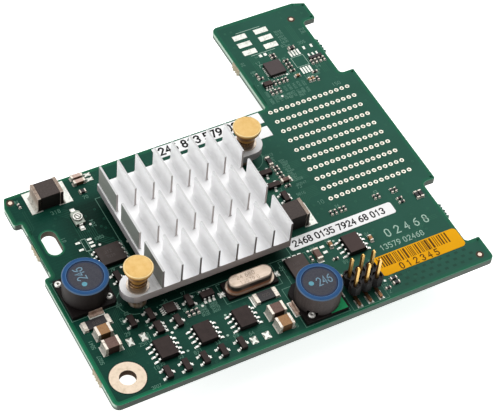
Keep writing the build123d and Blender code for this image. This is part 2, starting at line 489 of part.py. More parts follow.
# Small trimmer beside the slot: a ceramic base, a slotted metal rotor and a
# metal tab at each end.
ax, ay = 7.50, 40.15
base = prism([(ax - 1.05, ay - 1.75), (ax + 1.05, ay - 1.75), (ax + 1.05, ay + 1.40), (ax + 0.70, ay + 1.75),
              (ax - 0.70, ay + 1.75), (ax - 1.05, ay + 1.40)], SEAT, SEAT + 0.75)
write("trimmer_base", base)
rotor = turned(ax, ay - 0.1, [(0, SEAT + 0.75), (0.98, SEAT + 0.75), (1.05, SEAT + 0.82), (1.05, SEAT + 1.12), (0.98, SEAT + 1.20),
                              (0.80, SEAT + 1.20), (0.72, SEAT + 1.08), (0.56, SEAT + 1.08), (0.48, SEAT + 1.25), (0, SEAT + 1.25)])
rotor = rotor - Pos(ax, ay - 0.1, SEAT + 1.20) * Rot(0, 0, 35) * Box(0.22, 0.86, 0.3)
write("trimmer_rotor", rotor)
tabs = []
for s in (-1, 1):
    y0, y1 = sorted((ay + s * 1.75, ay + s * 2.75))
    tabs.append(block(ax - 0.40, ax + 0.40, y0, y1, SEAT, SEAT + 0.2))
    y0, y1 = sorted((ay + s * 1.75, ay + s * 1.95))
    tabs[-1] += block(ax - 0.40, ax + 0.40, y0, y1, SEAT + 0.1, SEAT + 0.62)
    y0, y1 = sorted((ay + s * 2.0, ay + s * 3.1))
    pad(ax - 0.5, ax + 0.5, y0, y1)
write("trimmer_tabs", tabs)

# --------------------------------------------------------------- bare pads
for x in (63.15, 68.6):
    for y in (73.5, 71.0, 68.45):
        pad(x - 1.65, x + 1.65, y - 0.75, y + 0.75)
for x in (64.8, 66.0):
    pad(x - 0.35, x + 0.35, 65.95, 66.75)
for x in (71.3, 72.0, 72.7, 73.4):
    pad(x - 0.225, x + 0.225, 63.2, 65.0)
    pad(x - 0.225, x + 0.225, 57.4, 59.4)
pad(74.83, 75.37, 64.15, 65.1)
pad(76.73, 77.27, 64.15, 65.1)
for x in (75.1, 76.1, 77.1):
    pad(x - 0.2, x + 0.2, 61.2, 62.6)
pad(3.4, 4.7, 6.5, 8.4)
pad(6.3, 7.65, 6.5, 8.4)
pad(25.9, 27.3, -3.45, -1.7)
pad(28.7, 30.25, -3.45, -1.7)
pad(30.5, 30.8, 4.5, 7.3)
pad(13.65, 15.1, 50.0, 50.9)
pad(13.65, 15.1, 48.65, 49.55)
for y in (34.35, 32.45):
    pad(4.4, 5.4, y - 0.25, y + 0.25)
for y in (34.35, 33.4, 32.45):
    pad(7.0, 8.0, y - 0.25, y + 0.25)
pad(50.05, 51.05, 12.1, 12.7)
pad(50.05, 51.05, 10.6, 11.2)
for x, y in ((21.1, 9.35), (12.6, 6.0), (9.4, 37.9), (8.9, 32.2), (47.3, 12.6), (58.1, -0.75), (63.4, 53.4), (67.6, 58.9), (14.5, 30.6), (10.4, 25.1)):
    round_pad(x, y, 0.28)
for x, y in ((-3.46, 49.95), (76.84, 73.9), (79.86, -3.2)):
    round_pad(x, y, 0.45)
write("solder_pads", PADS)

# ------------------------------------------------------------------- labels
LABEL_T = 0.08


def strip(x0, x1, y0, y1, r):
    return Pos((x0 + x1) / 2, (y0 + y1) / 2, TOP) * extrude(RectangleRounded(x1 - x0, y1 - y0, r), LABEL_T)


write("paper_labels", [strip(44.3, 69.75, 13.95, 17.05, 0.6), strip(29.9, 56.05, 48.1, 51.2, 0.12),
                       strip(29.9, 56.05, 44.05, 47.0, 0.12)])
write("striped_label", [strip(58.3, 78.75, 0.15, 5.2, 1.0)])

if __name__ == "__main__":
    print("pads", len(PADS), "chips", len(mauve) + len(tan) + len(black))
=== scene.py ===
import bpy
import bmesh
import math
import random
from mathutils import Matrix, Vector


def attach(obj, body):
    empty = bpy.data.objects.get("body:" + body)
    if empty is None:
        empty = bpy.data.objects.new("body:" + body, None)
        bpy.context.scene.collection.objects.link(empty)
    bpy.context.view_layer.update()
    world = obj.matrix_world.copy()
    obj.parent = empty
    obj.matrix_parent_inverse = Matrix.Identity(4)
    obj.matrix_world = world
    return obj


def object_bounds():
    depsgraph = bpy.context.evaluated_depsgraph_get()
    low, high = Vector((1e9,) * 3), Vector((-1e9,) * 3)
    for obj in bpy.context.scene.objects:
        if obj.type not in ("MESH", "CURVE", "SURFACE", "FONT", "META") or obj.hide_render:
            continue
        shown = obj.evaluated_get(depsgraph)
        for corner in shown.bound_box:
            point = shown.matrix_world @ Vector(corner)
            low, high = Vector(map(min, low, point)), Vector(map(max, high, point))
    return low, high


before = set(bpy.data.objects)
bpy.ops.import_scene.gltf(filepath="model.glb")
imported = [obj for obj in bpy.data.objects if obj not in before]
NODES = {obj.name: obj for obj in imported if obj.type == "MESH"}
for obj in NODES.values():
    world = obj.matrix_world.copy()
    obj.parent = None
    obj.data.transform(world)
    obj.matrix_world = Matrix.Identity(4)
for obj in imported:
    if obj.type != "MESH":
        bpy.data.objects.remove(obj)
CAD_BOX = [[float(c) for c in p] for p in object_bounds()]
MM = 0.001
TOP = 1.6                       # board's component face, in mm
SEAT = 1.65
PINS = ((9.7, 16.1, TOP + 11.3), (46.95, 40.64, TOP + 10.4))
INDUCTORS = ((0.9, 21.9), (42.9, 0.97))
IND_TOP = TOP + 6.2
FIDUCIALS = ((-3.46, 49.95), (76.84, 73.9), (79.86, -3.2))
scene = bpy.context.scene


# ------------------------------------------------------------------ materials
class Nodes:
    """A small helper to build one material's node tree."""

    def __init__(self, name, base=(0.5, 0.5, 0.5), rough=0.5, metal=0.0, coat=0.0, coat_rough=0.1, spec=0.5):
        self.m = bpy.data.materials.new(name)
        self.m.use_nodes = True
        self.t = self.m.node_tree
        self.b = self.t.nodes["Principled BSDF"]
        self.b.inputs["Base Color"].default_value = (*base, 1)
        self.b.inputs["Roughness"].default_value = rough
        self.b.inputs["Metallic"].default_value = metal
        self.b.inputs["Coat Weight"].default_value = coat
        self.b.inputs["Coat Roughness"].default_value = coat_rough
        self.b.inputs["Specular IOR Level"].default_value = spec
        self.obj = self.node("ShaderNodeTexCoord").outputs["Object"]
        self.geo = None

    def node(self, kind, **kw):
        n = self.t.nodes.new(kind)
        for k, v in kw.items():
            setattr(n, k, v)
        return n

    def link(self, a, b):
        self.t.links.new(a, b)

    def put(self, socket, value):
        if hasattr(value, "is_linked") or hasattr(value, "links"):
            self.link(value, socket)
        elif isinstance(value, (tuple, list)) and len(value) == 3 and socket.type == "RGBA":
            socket.default_value = (*value, 1)
        else:
            socket.default_value = value

    def vec(self, scale=(1, 1, 1), loc=(0, 0, 0), rot=(0, 0, 0)):
        """Object position in millimetres, stretched by scale."""
        n = self.node("ShaderNodeMapping")
        n.inputs["Scale"].default_value = tuple(s * 1000 for s in scale)
        n.inputs["Location"].default_value = loc
        n.inputs["Rotation"].default_value = rot
        self.link(self.obj, n.inputs["Vector"])
        return n.outputs["Vector"]

    def noise(self, vec, scale=1.0, detail=3.0, rough=0.55, distortion=0.0):
        n = self.node("ShaderNodeTexNoise")
        n.inputs["Scale"].default_value = scale
        n.inputs["Detail"].default_value = detail
        n.inputs["Roughness"].default_value = rough
        n.inputs["Distortion"].default_value = distortion
        self.link(vec, n.inputs["Vector"])
        return n.outputs["Fac"]

    def voronoi(self, vec, scale=1.0, feature="F1"):
        n = self.node("ShaderNodeTexVoronoi", feature=feature)
        n.inputs["Scale"].default_value = scale
        self.link(vec, n.inputs["Vector"])
        return n.outputs["Distance"]

    def ramp(self, fac, stops, interp="LINEAR"):
        n = self.node("ShaderNodeValToRGB")
        n.color_ramp.interpolation = interp
        e = n.color_ramp.elements
        while len(e) < len(stops):
            e.new(0.5)
        for el, (p, c) in zip(e, stops):
            el.position = p
            el.color = (*c, 1) if not isinstance(c, (int, float)) else (c, c, c, 1)
        self.link(fac, n.inputs["Fac"])
        return n.outputs["Color"]

    def mix(self, fac, a, b, mode="MIX"):
        n = self.node("ShaderNodeMix", data_type="RGBA", blend_type=mode)
        self.put(n.inputs[0], fac)
        self.put(n.inputs[6], a)
        self.put(n.inputs[7], b)
        return n.outputs[2]

    def math(self, op, a, b=0.0, c=0.0):
        n = self.node("ShaderNodeMath", operation=op)
        self.put(n.inputs[0], a)
        self.put(n.inputs[1], b)
        if op in ("MULTIPLY_ADD", "SMOOTH_MIN", "COMPARE"):
            self.put(n.inputs[2], c)
        return n.outputs[0]

    def range(self, v, a, b, c=0.0, d=1.0):
        n = self.node("ShaderNodeMapRange")
        self.put(n.inputs["Value"], v)
        for k, x in zip(("From Min", "From Max", "To Min", "To Max"), (a, b, c, d)):
            self.put(n.inputs[k], x)
        return n.outputs[0]

    def xyz(self):
        """Object position, x y z in millimetres."""
        n = self.node("ShaderNodeSeparateXYZ")
        self.link(self.vec(), n.inputs[0])
        return n.outputs

    def normal(self):
        n = self.node("ShaderNodeNewGeometry")
        s = self.node("ShaderNodeSeparateXYZ")
        self.link(n.outputs["True Normal"], s.inputs[0])
        return s.outputs

    def radius_from(self, points):
        """Distance in millimetres, in plan, from the nearest of some axes."""
        best = None
        x, y, _ = self.xyz()
        for px, py in points:
            dx = self.math("SUBTRACT", x, px)
            dy = self.math("SUBTRACT", y, py)
            d = self.math("SQRT", self.math("ADD", self.math("MULTIPLY", dx, dx), self.math("MULTIPLY", dy, dy)))
            best = d if best is None else self.math("MINIMUM", best, d)
        return best

    def color(self, value):
        self.put(self.b.inputs["Base Color"], value)
        return self

    def rough(self, value):
        self.put(self.b.inputs["Roughness"], value)
        return self

    def bump(self, height, strength=0.3, dist_mm=0.05, under=None):
        n = self.node("ShaderNodeBump")
        n.inputs["Strength"].default_value = strength
        n.inputs["Distance"].default_value = dist_mm * MM
        self.link(height, n.inputs["Height"])
        if under is not None:
            self.link(under, n.inputs["Normal"])
        self.link(n.outputs["Normal"], self.b.inputs["Normal"])
        return n.outputs["Normal"]


def srgb(r, g, b):
    return tuple((c / 255 / 12.92) if c / 255 <= 0.04045 else ((c / 255 + 0.055) / 1.055) ** 2.4 for c in (r, g, b))


def scaled(c, k):
    return tuple(min(1.0, v * k) for v in c)


def board_material():
    n = Nodes("solder_mask_board", rough=0.38, spec=0.045)
    x, y, z = n.xyz()
    nx, ny, nz = n.normal()
    cloud = n.noise(n.vec((0.09, 0.09, 0.09)), 1.0, 4.0)
    fine = n.noise(n.vec((1, 1, 1)), 2.6, 5.0)
    # painted sheen: the mask is deeper towards the left edge and paler towards the right, where a lamp's reflection is
    # painted in
    across = n.range(x, -6.0, 66.0)
    base = n.mix(across, srgb(11, 61, 50), srgb(44, 90, 76))
    deep = n.mix(across, srgb(6, 50, 40), srgb(38, 81, 67))
    base = n.mix(n.range(cloud, 0.35, 0.65, 0.0, 0.6), base, deep)
    # painted shadow: the mask is at its deepest round the heat sink, under it and in front of it
    sink_shade = n.math("MULTIPLY", n.range(y, 5.5, 10.5), n.math("MULTIPLY", n.range(x, 2.0, 8.0), n.range(x, 40.0, 48.0, 1.0, 0.0)))
    sink_shade = n.math("MULTIPLY", sink_shade, n.range(y, 43.0, 45.5, 1.0, 0.0))
    base = n.mix(n.math("MULTIPLY", sink_shade, 0.72), base, srgb(3, 16, 13))
    # copper areas and tracks read faintly through the mask
    tracks = n.node("ShaderNodeTexBrick")
    tracks.offset, tracks.squash = 0.37, 0.8
    for k, v in (("Scale", 0.42), ("Mortar Size", 0.035), ("Mortar Smooth", 0.2), ("Brick Width", 1.9), ("Row Height", 0.31)):
        tracks.inputs[k].default_value = v
    n.link(n.vec((1, 1, 1), rot=(0, 0, 0.0)), tracks.inputs["Vector"])
    base = n.mix(n.math("MULTIPLY", tracks.outputs["Fac"], 0.06), base, srgb(40, 104, 80))
    base = n.mix(n.range(fine, 0.3, 0.7, 0.0, 0.12), base, srgb(38, 96, 76))
    # bare laminate on the sides; painted shade makes the walls of the hole and the slot browner and darker
    glass = n.noise(n.vec((0.35, 0.35, 9.0)), 1.0, 3.0)
    side = n.mix(glass, srgb(92, 102, 95), srgb(122, 130, 122))
    side = n.mix(n.range(z, 1.15, 1.5), side, srgb(88, 116, 102))
    side = n.mix(n.range(z, 0.15, 0.45, 1.0, 0.0), side, srgb(74, 80, 76))
    # painted shade: the front sides are darker towards the left; painted light: the left sides are pale above
    front = n.math("MULTIPLY", n.range(ny, -0.9, -0.6, 1.0, 0.0), n.range(x, 0.0, 70.0, 1.0, 0.25))
    side = n.mix(front, side, n.mix(glass, srgb(64, 72, 67), srgb(88, 96, 90)))
    left = n.range(nx, -0.9, -0.6, 1.0, 0.0)
    side = n.mix(left, side, n.mix(n.range(z, 0.65, 0.95), srgb(104, 114, 106), srgb(172, 194, 178)))
    r = n.radius_from([(0.0, 0.0)])
    sx = n.math("ABSOLUTE", n.math("SUBTRACT", x, 0.1))
    sy = n.math("ABSOLUTE", n.math("SUBTRACT", y, 36.65))
    slot = n.math("MULTIPLY", n.math("LESS_THAN", sx, 1.8), n.math("LESS_THAN", sy, 3.4))
    # painted shade on the walls of the slot and of the hole
    side = n.mix(slot, side, n.mix(glass, srgb(78, 72, 62), srgb(112, 106, 94)))
    side = n.mix(n.math("LESS_THAN", r, 1.9), side, n.mix(glass, srgb(46, 33, 25), srgb(84, 66, 52)))
    flat = n.math("GREATER_THAN", n.math("ABSOLUTE", nz), 0.5)
    whole = n.mix(flat, side, base)
    # the torn stubs show bare, fibrous laminate
    torn = None
    for x_edge, y0, y1 in ((-3.53, 34.2, 38.4), (-5.2, 0.8, 5.0), (58.24, 64.0, 67.4)):
        band = n.math("MULTIPLY", n.math("GREATER_THAN", y, y0), n.math("LESS_THAN", y, y1))
        band = n.math("MULTIPLY", band, n.math("LESS_THAN", x, x_edge))
        torn = band if torn is None else n.math("MAXIMUM", torn, band)
    n.color(n.mix(torn, whole, n.mix(fine, srgb(140, 128, 104), srgb(206, 198, 176))))
    n.rough(n.mix(flat, (0.75, 0.75, 0.75), n.mix(fine, (0.32, 0.32, 0.32), (0.44, 0.44, 0.44))))
    h = n.math("ADD", n.math("MULTIPLY", n.noise(n.vec((1, 1, 1)), 0.9, 4.0), 0.6), n.math("MULTIPLY", tracks.outputs["Fac"], 0.25))
    n.bump(h, 0.22, 0.03)
    return n.m


def metal(name, color, rough, var=0.12, scale=3.0, bump=0.1, dist=0.03, dark=None, streak=None, body=1.0):
    n = Nodes(name, color, rough, body)
    v = n.vec(streak or (1, 1, 1))
    a = n.noise(v, scale, 4.0)
    low = dark or scaled(color, 0.72)
    n.color(n.mix(n.range(a, 0.3, 0.75), low, color))
    n.rough(n.range(n.noise(v, scale * 2.3, 3.0), 0.2, 0.8, max(0.02, rough - var), rough + var))
    n.bump(a, bump, dist)
    return n.m


def plastic(name, color, rough=0.5, grain=14.0, bump=0.15, dist=0.012, spread=0.35, spec=0.5):
    n = Nodes(name, color, rough, 0.0, spec=spec)
    g = n.noise(n.vec(), grain, 3.0)
    c = n.noise(n.vec(), 0.5, 3.0)
    n.color(n.mix(n.range(c, 0.3, 0.7), scaled(color, 1 - spread), scaled(color, 1 + spread)))
    n.rough(n.range(g, 0.25, 0.75, rough - 0.06, rough + 0.08))
    n.bump(g, bump, dist)
    return n.m


def package_material(name, top, side, rough=0.45, spec=0.5):
    """Moulded epoxy: the top face is a little browner and paler than the sides, which carry painted shade."""
    n = Nodes(name, top, rough, 0.0, spec=spec)
    nz = n.normal()[2]
    g = n.noise(n.vec(), 9.0, 4.0)
    c = n.noise(n.vec(), 0.6, 2.0)
    t = n.mix(n.range(c, 0.3, 0.7), scaled(top, 0.8), scaled(top, 1.2))
    t = n.mix(n.range(g, 0.35, 0.7, 0.0, 0.35), t, scaled(top, 1.7))
    # painted sheen: the tops are paler towards the right
    t = n.mix(n.range(n.xyz()[0], 34.0, 56.0, 0.0, 0.7), t, scaled(top, 2.3))
    n.color(n.mix(n.range(nz, 0.55, 0.9), side, t))
    n.rough(n.range(g, 0.25, 0.75, rough - 0.07, rough + 0.1))
    n.bump(g, 0.18, 0.012)
    return n.m


def heat_sink_material():
    n = Nodes("sink_aluminium", (0.86, 0.86, 0.87), 0.46, 0.3)
    x, y, z = n.xyz()
    nx, ny, nz = n.normal()
    lines = n.noise(n.vec((6.0, 0.12, 6.0)), 1.0, 4.0)
    cloud = n.noise(n.vec((0.15, 0.15, 0.15)), 1.0, 3.0)
    c = n.mix(n.range(lines, 0.3, 0.7), (0.87, 0.87, 0.875), (0.95, 0.95, 0.955))
    c = n.mix(n.range(cloud, 0.35, 0.7, 0.0, 0.3), c, (0.89, 0.885, 0.89))
    outside = n.math("MAXIMUM", n.math("LESS_THAN", x, 12.9), n.math("GREATER_THAN", x, 43.6))
    c = n.mix(n.math("MULTIPLY", outside, n.math("LESS_THAN", z, TOP + 5.13)), c, (0.78, 0.78, 0.78))
    # painted shade on the sawn ends: pinkish grey inside the cross-cuts, darker at the front, paler again on the base
    # plate's front
    saw = n.noise(n.vec((0.4, 1, 9.0)), 1.0, 3.0)
    ends = n.range(n.math("ABSOLUTE", ny), 0.7, 0.95)
    c = n.mix(ends, c, n.mix(saw, srgb(170, 160, 158), srgb(196, 188, 184)))
    front = n.math("MULTIPLY", ends, n.math("LESS_THAN", y, 13.7))
    c = n.mix(front, c, n.mix(saw, srgb(104, 98, 97), srgb(132, 126, 124)))
    plate = n.math("MULTIPLY", front, n.math("LESS_THAN", z, TOP + 5.12))
    c = n.mix(plate, c, n.mix(saw, srgb(162, 151, 148), srgb(194, 183, 180)))
    # painted light makes the fin faces the palest, and painted shade the tops of the fins a little greyer
    faces = n.math("MULTIPLY", n.range(n.math("ABSOLUTE", nx), 0.6, 0.9), n.math("GREATER_THAN", z, TOP + 5.15))
    c = n.mix(faces, c, n.mix(lines, (0.95, 0.95, 0.955), (0.99, 0.99, 0.99)))
    tops = n.math("MULTIPLY", n.range(nz, 0.6, 0.9), n.math("GREATER_THAN", z, TOP + 10.3))
    c = n.mix(tops, c, (0.66, 0.66, 0.66))
    n.link(n.range(n.math("MAXIMUM", faces, tops), 0.0, 1.0, 0.18, 0.03), n.b.inputs["Metallic"])
    # painted shade on the sides of the base plate
    rim = n.math("MULTIPLY", n.math("LESS_THAN", z, TOP + 5.0), n.math("LESS_THAN", n.math("ABSOLUTE", nz), 0.5))
    flank = n.math("MULTIPLY", rim, n.math("SUBTRACT", 1.0, front))
    c = n.mix(flank, c, n.mix(saw, srgb(140, 136, 138), srgb(166, 162, 163)))
    # painted reflection of the dark board on the outer face of the first fin
    outer = n.math("MULTIPLY", n.math("LESS_THAN", x, 14.0), n.range(nx, -0.9, -0.6, 1.0, 0.0))
    outer = n.math("MULTIPLY", outer, n.math("GREATER_THAN", z, TOP + 5.15))
    c = n.mix(outer, c, n.mix(saw, srgb(112, 118, 112), srgb(134, 138, 132)))
    n.color(c)
    n.rough(n.range(lines, 0.2, 0.8, 0.40, 0.54))
    n.bump(lines, 0.12, 0.02)
    return n.m


def brass_material():
    n = Nodes("turned_brass", srgb(190, 158, 96), 0.42, 0.5)
    r = n.radius_from([(p[0], p[1]) for p in PINS])
    rings = n.math("SINE", n.math("MULTIPLY", r, 26.0))
    blur = n.noise(n.vec((0.8, 0.8, 0.8)), 1.0, 4.0)
    nz = n.normal()[2]
    c = n.mix(n.range(blur, 0.3, 0.7), srgb(194, 153, 80), srgb(206, 171, 106))
    c = n.mix(n.math("MULTIPLY", n.range(rings, -1.0, 1.0), 0.12), c, srgb(226, 200, 146))
    # painted highlight along the rim of the head
    c = n.mix(n.range(r, 2.70, 2.82, 0.0, 0.6), c, srgb(232, 210, 158))
    # painted shade: the cone under the head goes from gold to dark brown
    under = n.range(nz, -0.62, 0.25)
    low = n.ramp(under, [(0.0, srgb(88, 54, 14)), (0.35, srgb(140, 92, 30)), (0.62, srgb(206, 150, 66)), (0.9, srgb(240, 196, 118))])
    c = n.mix(n.range(nz, 0.3, 0.7), low, c)
    n.color(c)
    n.rough(n.range(rings, -1, 1, 0.40, 0.48))
    n.bump(n.math("ADD", n.math("MULTIPLY", rings, 0.4), blur), 0.06, 0.02)
    return n.m


def gold_material():
    n = Nodes("gold_plate", srgb(236, 190, 110), 0.34, 0.8)
    x, y, z = n.xyz()
    nx, ny, nz = n.normal()
    a = n.noise(n.vec((0.6, 0.6, 0.25)), 1.0, 2.0)
    c = n.mix(n.range(a, 0.3, 0.7), srgb(236, 186, 100), srgb(250, 214, 142))
    # painted shade on faces that look to the left
    c = n.mix(n.range(nx, -0.85, -0.5, 1.0, 0.0), c, srgb(150, 100, 40))
    c = n.mix(n.range(z, SEAT + 0.6, SEAT + 2.4, 1.0, 0.0), c, n.mix(a, srgb(98, 66, 42), srgb(132, 96, 66)))
    n.color(c)
    n.rough(n.range(a, 0.2, 0.8, 0.30, 0.40))
    n.bump(a, 0.01, 0.005)
    return n.m


def inductor_shell_material():
    n = Nodes("inductor_shell", srgb(44, 40, 40), 0.5, spec=0.12)
    r = n.radius_from(INDUCTORS)
    x, y, z = n.xyz()
    nz = n.normal()[2]
    g = n.noise(n.vec(), 5.0, 4.0)
    body = n.mix(n.range(g, 0.3, 0.7), srgb(54, 48, 47), srgb(74, 67, 65))
    streaks = n.noise(n.vec((1.2, 1.2, 0.15)), 1.0, 3.0)
    body = n.mix(n.range(streaks, 0.4, 0.75, 0.0, 0.4), body, srgb(90, 80, 78))
    # darker towards the foot of the wall
    body = n.mix(n.range(z, SEAT + 0.95, SEAT + 3.0, 0.7, 0.0), body, srgb(20, 18, 18))
    # painted shade: the left-hand part's wall is darker all over
    body = n.mix(n.range(x, 8.0, 12.0, 0.75, 0.0), body, srgb(24, 20, 19))
    wob = n.math("MULTIPLY", n.math("SUBTRACT", n.noise(n.vec((0.5, 0.5, 0.5)), 1.0, 2.0), 0.5), 0.10)
    rr = n.math("ADD", r, wob)
    blue = n.mix(n.noise(n.vec(), 1.2, 4.0), srgb(22, 68, 116), srgb(38, 92, 142))
    # blue coat, with painted highlights along the ring's inner and outer edges
    ring = n.ramp(n.range(rr, 3.70, 4.85), [
        (0.0, srgb(116, 152, 190)), (0.11, srgb(112, 150, 190)), (0.20, srgb(30, 78, 130)),
        (0.68, srgb(26, 72, 122)), (0.80, srgb(60, 106, 152)), (0.90, srgb(128, 152, 176)), (1.0, srgb(112, 122, 130))])
    blue_top_and_highlights = n.mix(0.55, blue, ring)
    blue_top_and_highlights = n.mix(n.range(rr, 4.52, 4.68), blue_top_and_highlights, srgb(84, 108, 136))
    blue_top_and_highlights = n.mix(n.range(rr, 3.84, 3.98, 1.0, 0.0), blue_top_and_highlights, srgb(74, 110, 152))
    top = n.math("MULTIPLY", n.math("GREATER_THAN", z, IND_TOP - 0.32), n.math("GREATER_THAN", nz, 0.1))
    n.color(n.mix(top, body, blue_top_and_highlights))
    n.rough(n.mix(top, (0.55, 0.55, 0.55), (0.4, 0.4, 0.4)))
    n.bump(g, 0.22, 0.03)
    return n.m


def inductor_drum_material():
    n = Nodes("inductor_drum", srgb(60, 66, 84), 0.46, spec=0.12)
    r = n.radius_from(INDUCTORS)
    g = n.noise(n.vec(), 4.0, 5.0)
    c = n.mix(n.range(g, 0.3, 0.7), srgb(56, 58, 68), srgb(74, 74, 82))
    # painted shade round the drum's edge, where it sits below the ring
    c = n.mix(n.range(r, 3.2, 3.62, 0.0, 0.8), c, srgb(26, 48, 84))
    n.color(c)
    n.rough(n.range(g, 0.25, 0.75, 0.4, 0.54))
    n.bump(g, 0.2, 0.02)
    return n.m


def inductor_base_material():
    """Dark moulding, with one green corner on the right-hand part."""
    n = Nodes("inductor_base_moulding", srgb(18, 15, 15), 0.5, spec=0.1)
    x, y, z = n.xyz()
    g = n.noise(n.vec(), 5.0, 4.0)
    c = n.mix(n.range(g, 0.3, 0.7), srgb(14, 11, 11), srgb(32, 26, 25))
    corner = n.math("MULTIPLY", n.math("GREATER_THAN", x, 43.6), n.math("LESS_THAN", n.math("SUBTRACT", y, 0.0), -0.6))
    corner = n.math("MULTIPLY", corner, n.math("GREATER_THAN", y, -3.93))
    corner = n.math("MULTIPLY", corner, n.math("LESS_THAN", x, 47.45))
    corner = n.math("MULTIPLY", corner, n.math("GREATER_THAN", z, SEAT + 0.93))
    n.color(n.mix(corner, c, n.mix(g, srgb(24, 140, 84), srgb(40, 172, 108))))
    n.rough(n.range(g, 0.25, 0.75, 0.44, 0.58))
    n.bump(g, 0.15, 0.012)
    return n.m


def crystal_material():
    """Drawn can: pale top; the wall carries painted reflections, coppery low and dark above."""
    n = Nodes("crystal_can_metal", srgb(200, 186, 170), 0.34, 0.7)
    z = n.xyz()[2]
    nz = n.normal()[2]
    a = n.noise(n.vec((0.5, 1.6, 1.0)), 0.9, 4.0)
    c = n.mix(n.range(a, 0.3, 0.75), srgb(168, 151, 135), srgb(196, 180, 165))
    # painted reflections on the wall: coppery low, dark above, pale at the top edge
    wall = n.ramp(n.range(z, SEAT + 1.0, TOP + 3.0), [
        (0.0, srgb(200, 150, 122)), (0.30, srgb(176, 124, 98)), (0.42, srgb(92, 80, 74)), (0.80, srgb(84, 76, 72)), (1.0, srgb(170, 156, 142))])
    n.color(n.mix(n.range(nz, 0.25, 0.7), wall, c))
    n.rough(n.range(a, 0.2, 0.8, 0.28, 0.42))
    n.bump(a, 0.12, 0.02)
    return n.m


def block_end_material():
    """Large end plates: beige, with streaks that run down to the pad."""
    n = Nodes("large_end_tin", srgb(168, 150, 134), 0.5, 0.3)
    z = n.xyz()[2]
    nx, ny, nz = n.normal()
    a = n.noise(n.vec((2.6, 2.6, 0.25)), 1.0, 4.0)
    b = n.noise(n.vec((0.5, 0.5, 0.5)), 1.0, 3.0)
    c = n.mix(n.range(a, 0.35, 0.7), srgb(128, 110, 97), srgb(168, 150, 134))
    c = n.mix(n.range(b, 0.45, 0.8, 0.0, 0.5), c, srgb(186, 172, 158))
    c = n.mix(n.range(z, SEAT + 0.4, SEAT + 2.6, 0.8, 0.0), c, srgb(222, 213, 203))
    # painted shade on the front faces
    c = n.mix(n.range(ny, -0.9, -0.6, 1.0, 0.0), c, srgb(44, 31, 26))
    # painted highlight along the edges
    corner = n.math("SUBTRACT", 1.0, n.math("MAXIMUM", n.math("MAXIMUM", n.math("ABSOLUTE", nx), n.math("ABSOLUTE", ny)), n.math("ABSOLUTE", nz)))
    c = n.mix(n.range(corner, 0.02, 0.10, 0.0, 0.85), c, srgb(222, 208, 194))
    n.color(c)
    n.rough(n.range(a, 0.2, 0.8, 0.42, 0.6))
    n.bump(a, 0.25, 0.05)
    return n.m


def patchy_metal(name, light, grey, rough=0.42, body=0.55, scale=0.8, marks=None, low=None):
    """Tinned surface: pale, with soft grey smudges."""
    n = Nodes(name, light, rough, body)
    a = n.noise(n.vec((1, 1, 1)), scale, 3.0, 0.6, 0.4)
    b = n.noise(n.vec((1, 1, 1)), scale * 4.0, 3.0)
    c = n.mix(n.range(a, 0.52, 0.72), light, grey)
    c = n.mix(n.range(b, 0.4, 0.75, 0.0, 0.35), c, grey)
    if marks:
        c = n.mix(n.math("LESS_THAN", n.radius_from(marks), 0.6), c, srgb(232, 204, 186))
    n.color(c)
    n.rough(n.range(b, 0.2, 0.8, rough - 0.1, rough + 0.1))
    n.bump(a, 0.2, 0.04)
    return n.m


def strap_material():
    """Tinned copper straps, and bright solder where the winding's ends stand."""
    n = Nodes("copper_strap", srgb(212, 186, 168), 0.42, 0.5)
    z = n.xyz()[2]
    a = n.noise(n.vec(), 1.6, 4.0)
    c = n.mix(n.range(a, 0.3, 0.75), srgb(160, 132, 116), srgb(216, 194, 178))
    c = n.mix(n.range(z, SEAT + 0.935, SEAT + 0.955), c, n.mix(a, srgb(214, 210, 202), srgb(246, 244, 240)))
    n.color(c)
    n.rough(n.range(a, 0.2, 0.8, 0.34, 0.5))
    n.bump(a, 0.3, 0.04)
    return n.m


def spacer_material():
    """The plug below each ear: pale, with brown bands of painted reflection and shade."""
    n = Nodes("spacer_plug", srgb(176, 160, 140), 0.36, 0.3)
    x, y, z = n.xyz()
    a = n.noise(n.vec((1.2, 1.2, 0.4)), 1.0, 3.0)
    c = n.ramp(n.range(z, TOP, TOP + 3.4), [
        (0.0, srgb(70, 52, 42)), (0.22, srgb(176, 150, 122)), (0.42, srgb(120, 92, 70)), (0.60, srgb(64, 46, 38)),
        (0.80, srgb(150, 128, 106)), (1.0, srgb(206, 196, 184))])
    # painted highlights in pale patches
    c = n.mix(n.range(a, 0.45, 0.75, 0.0, 0.6), c, srgb(232, 224, 214))
    n.color(c)
    n.rough(n.range(a, 0.2, 0.8, 0.3, 0.42))
    n.bump(a, 0.1, 0.02)
    return n.m


def trimmer_rotor_material():
    """Turned metal; painted shade darkens the groove and slot, and the walls."""
    n = Nodes("trimmer_rotor_metal", srgb(222, 220, 212), 0.36, 0.5)
    z = n.xyz()[2]
    nz = n.normal()[2]
    a = n.noise(n.vec(), 2.0, 3.0)
    c = n.mix(n.range(a, 0.35, 0.7), srgb(236, 234, 228), srgb(178, 178, 170))
    low = n.math("MULTIPLY", n.range(z, SEAT + 1.14, SEAT + 1.17, 1.0, 0.0), n.range(nz, 0.5, 0.9))
    c = n.mix(low, c, srgb(92, 98, 88))
    c = n.mix(n.range(nz, 0.2, 0.6, 1.0, 0.0), c, srgb(96, 98, 90))
    n.color(c)
    n.rough(n.range(a, 0.2, 0.8, 0.3, 0.42))
    n.bump(a, 0.1, 0.02)
    return n.m


def label_material(name, color, rough=0.42, dirt=0.06, spec=0.3):
    n = Nodes(name, color, rough, 0.0, spec=spec)
    f = n.noise(n.vec((1, 1, 1)), 6.0, 4.0)
    cl = n.noise(n.vec((0.12, 0.12, 0.12)), 1.0, 3.0)
    n.color(n.mix(n.range(cl, 0.35, 0.7, 0.0, 1.0), color, scaled(color, 1 - dirt)))
    n.rough(n.range(f, 0.2, 0.8, rough - 0.06, rough + 0.08))
    n.bump(f, 0.12, 0.01)
    return n.m


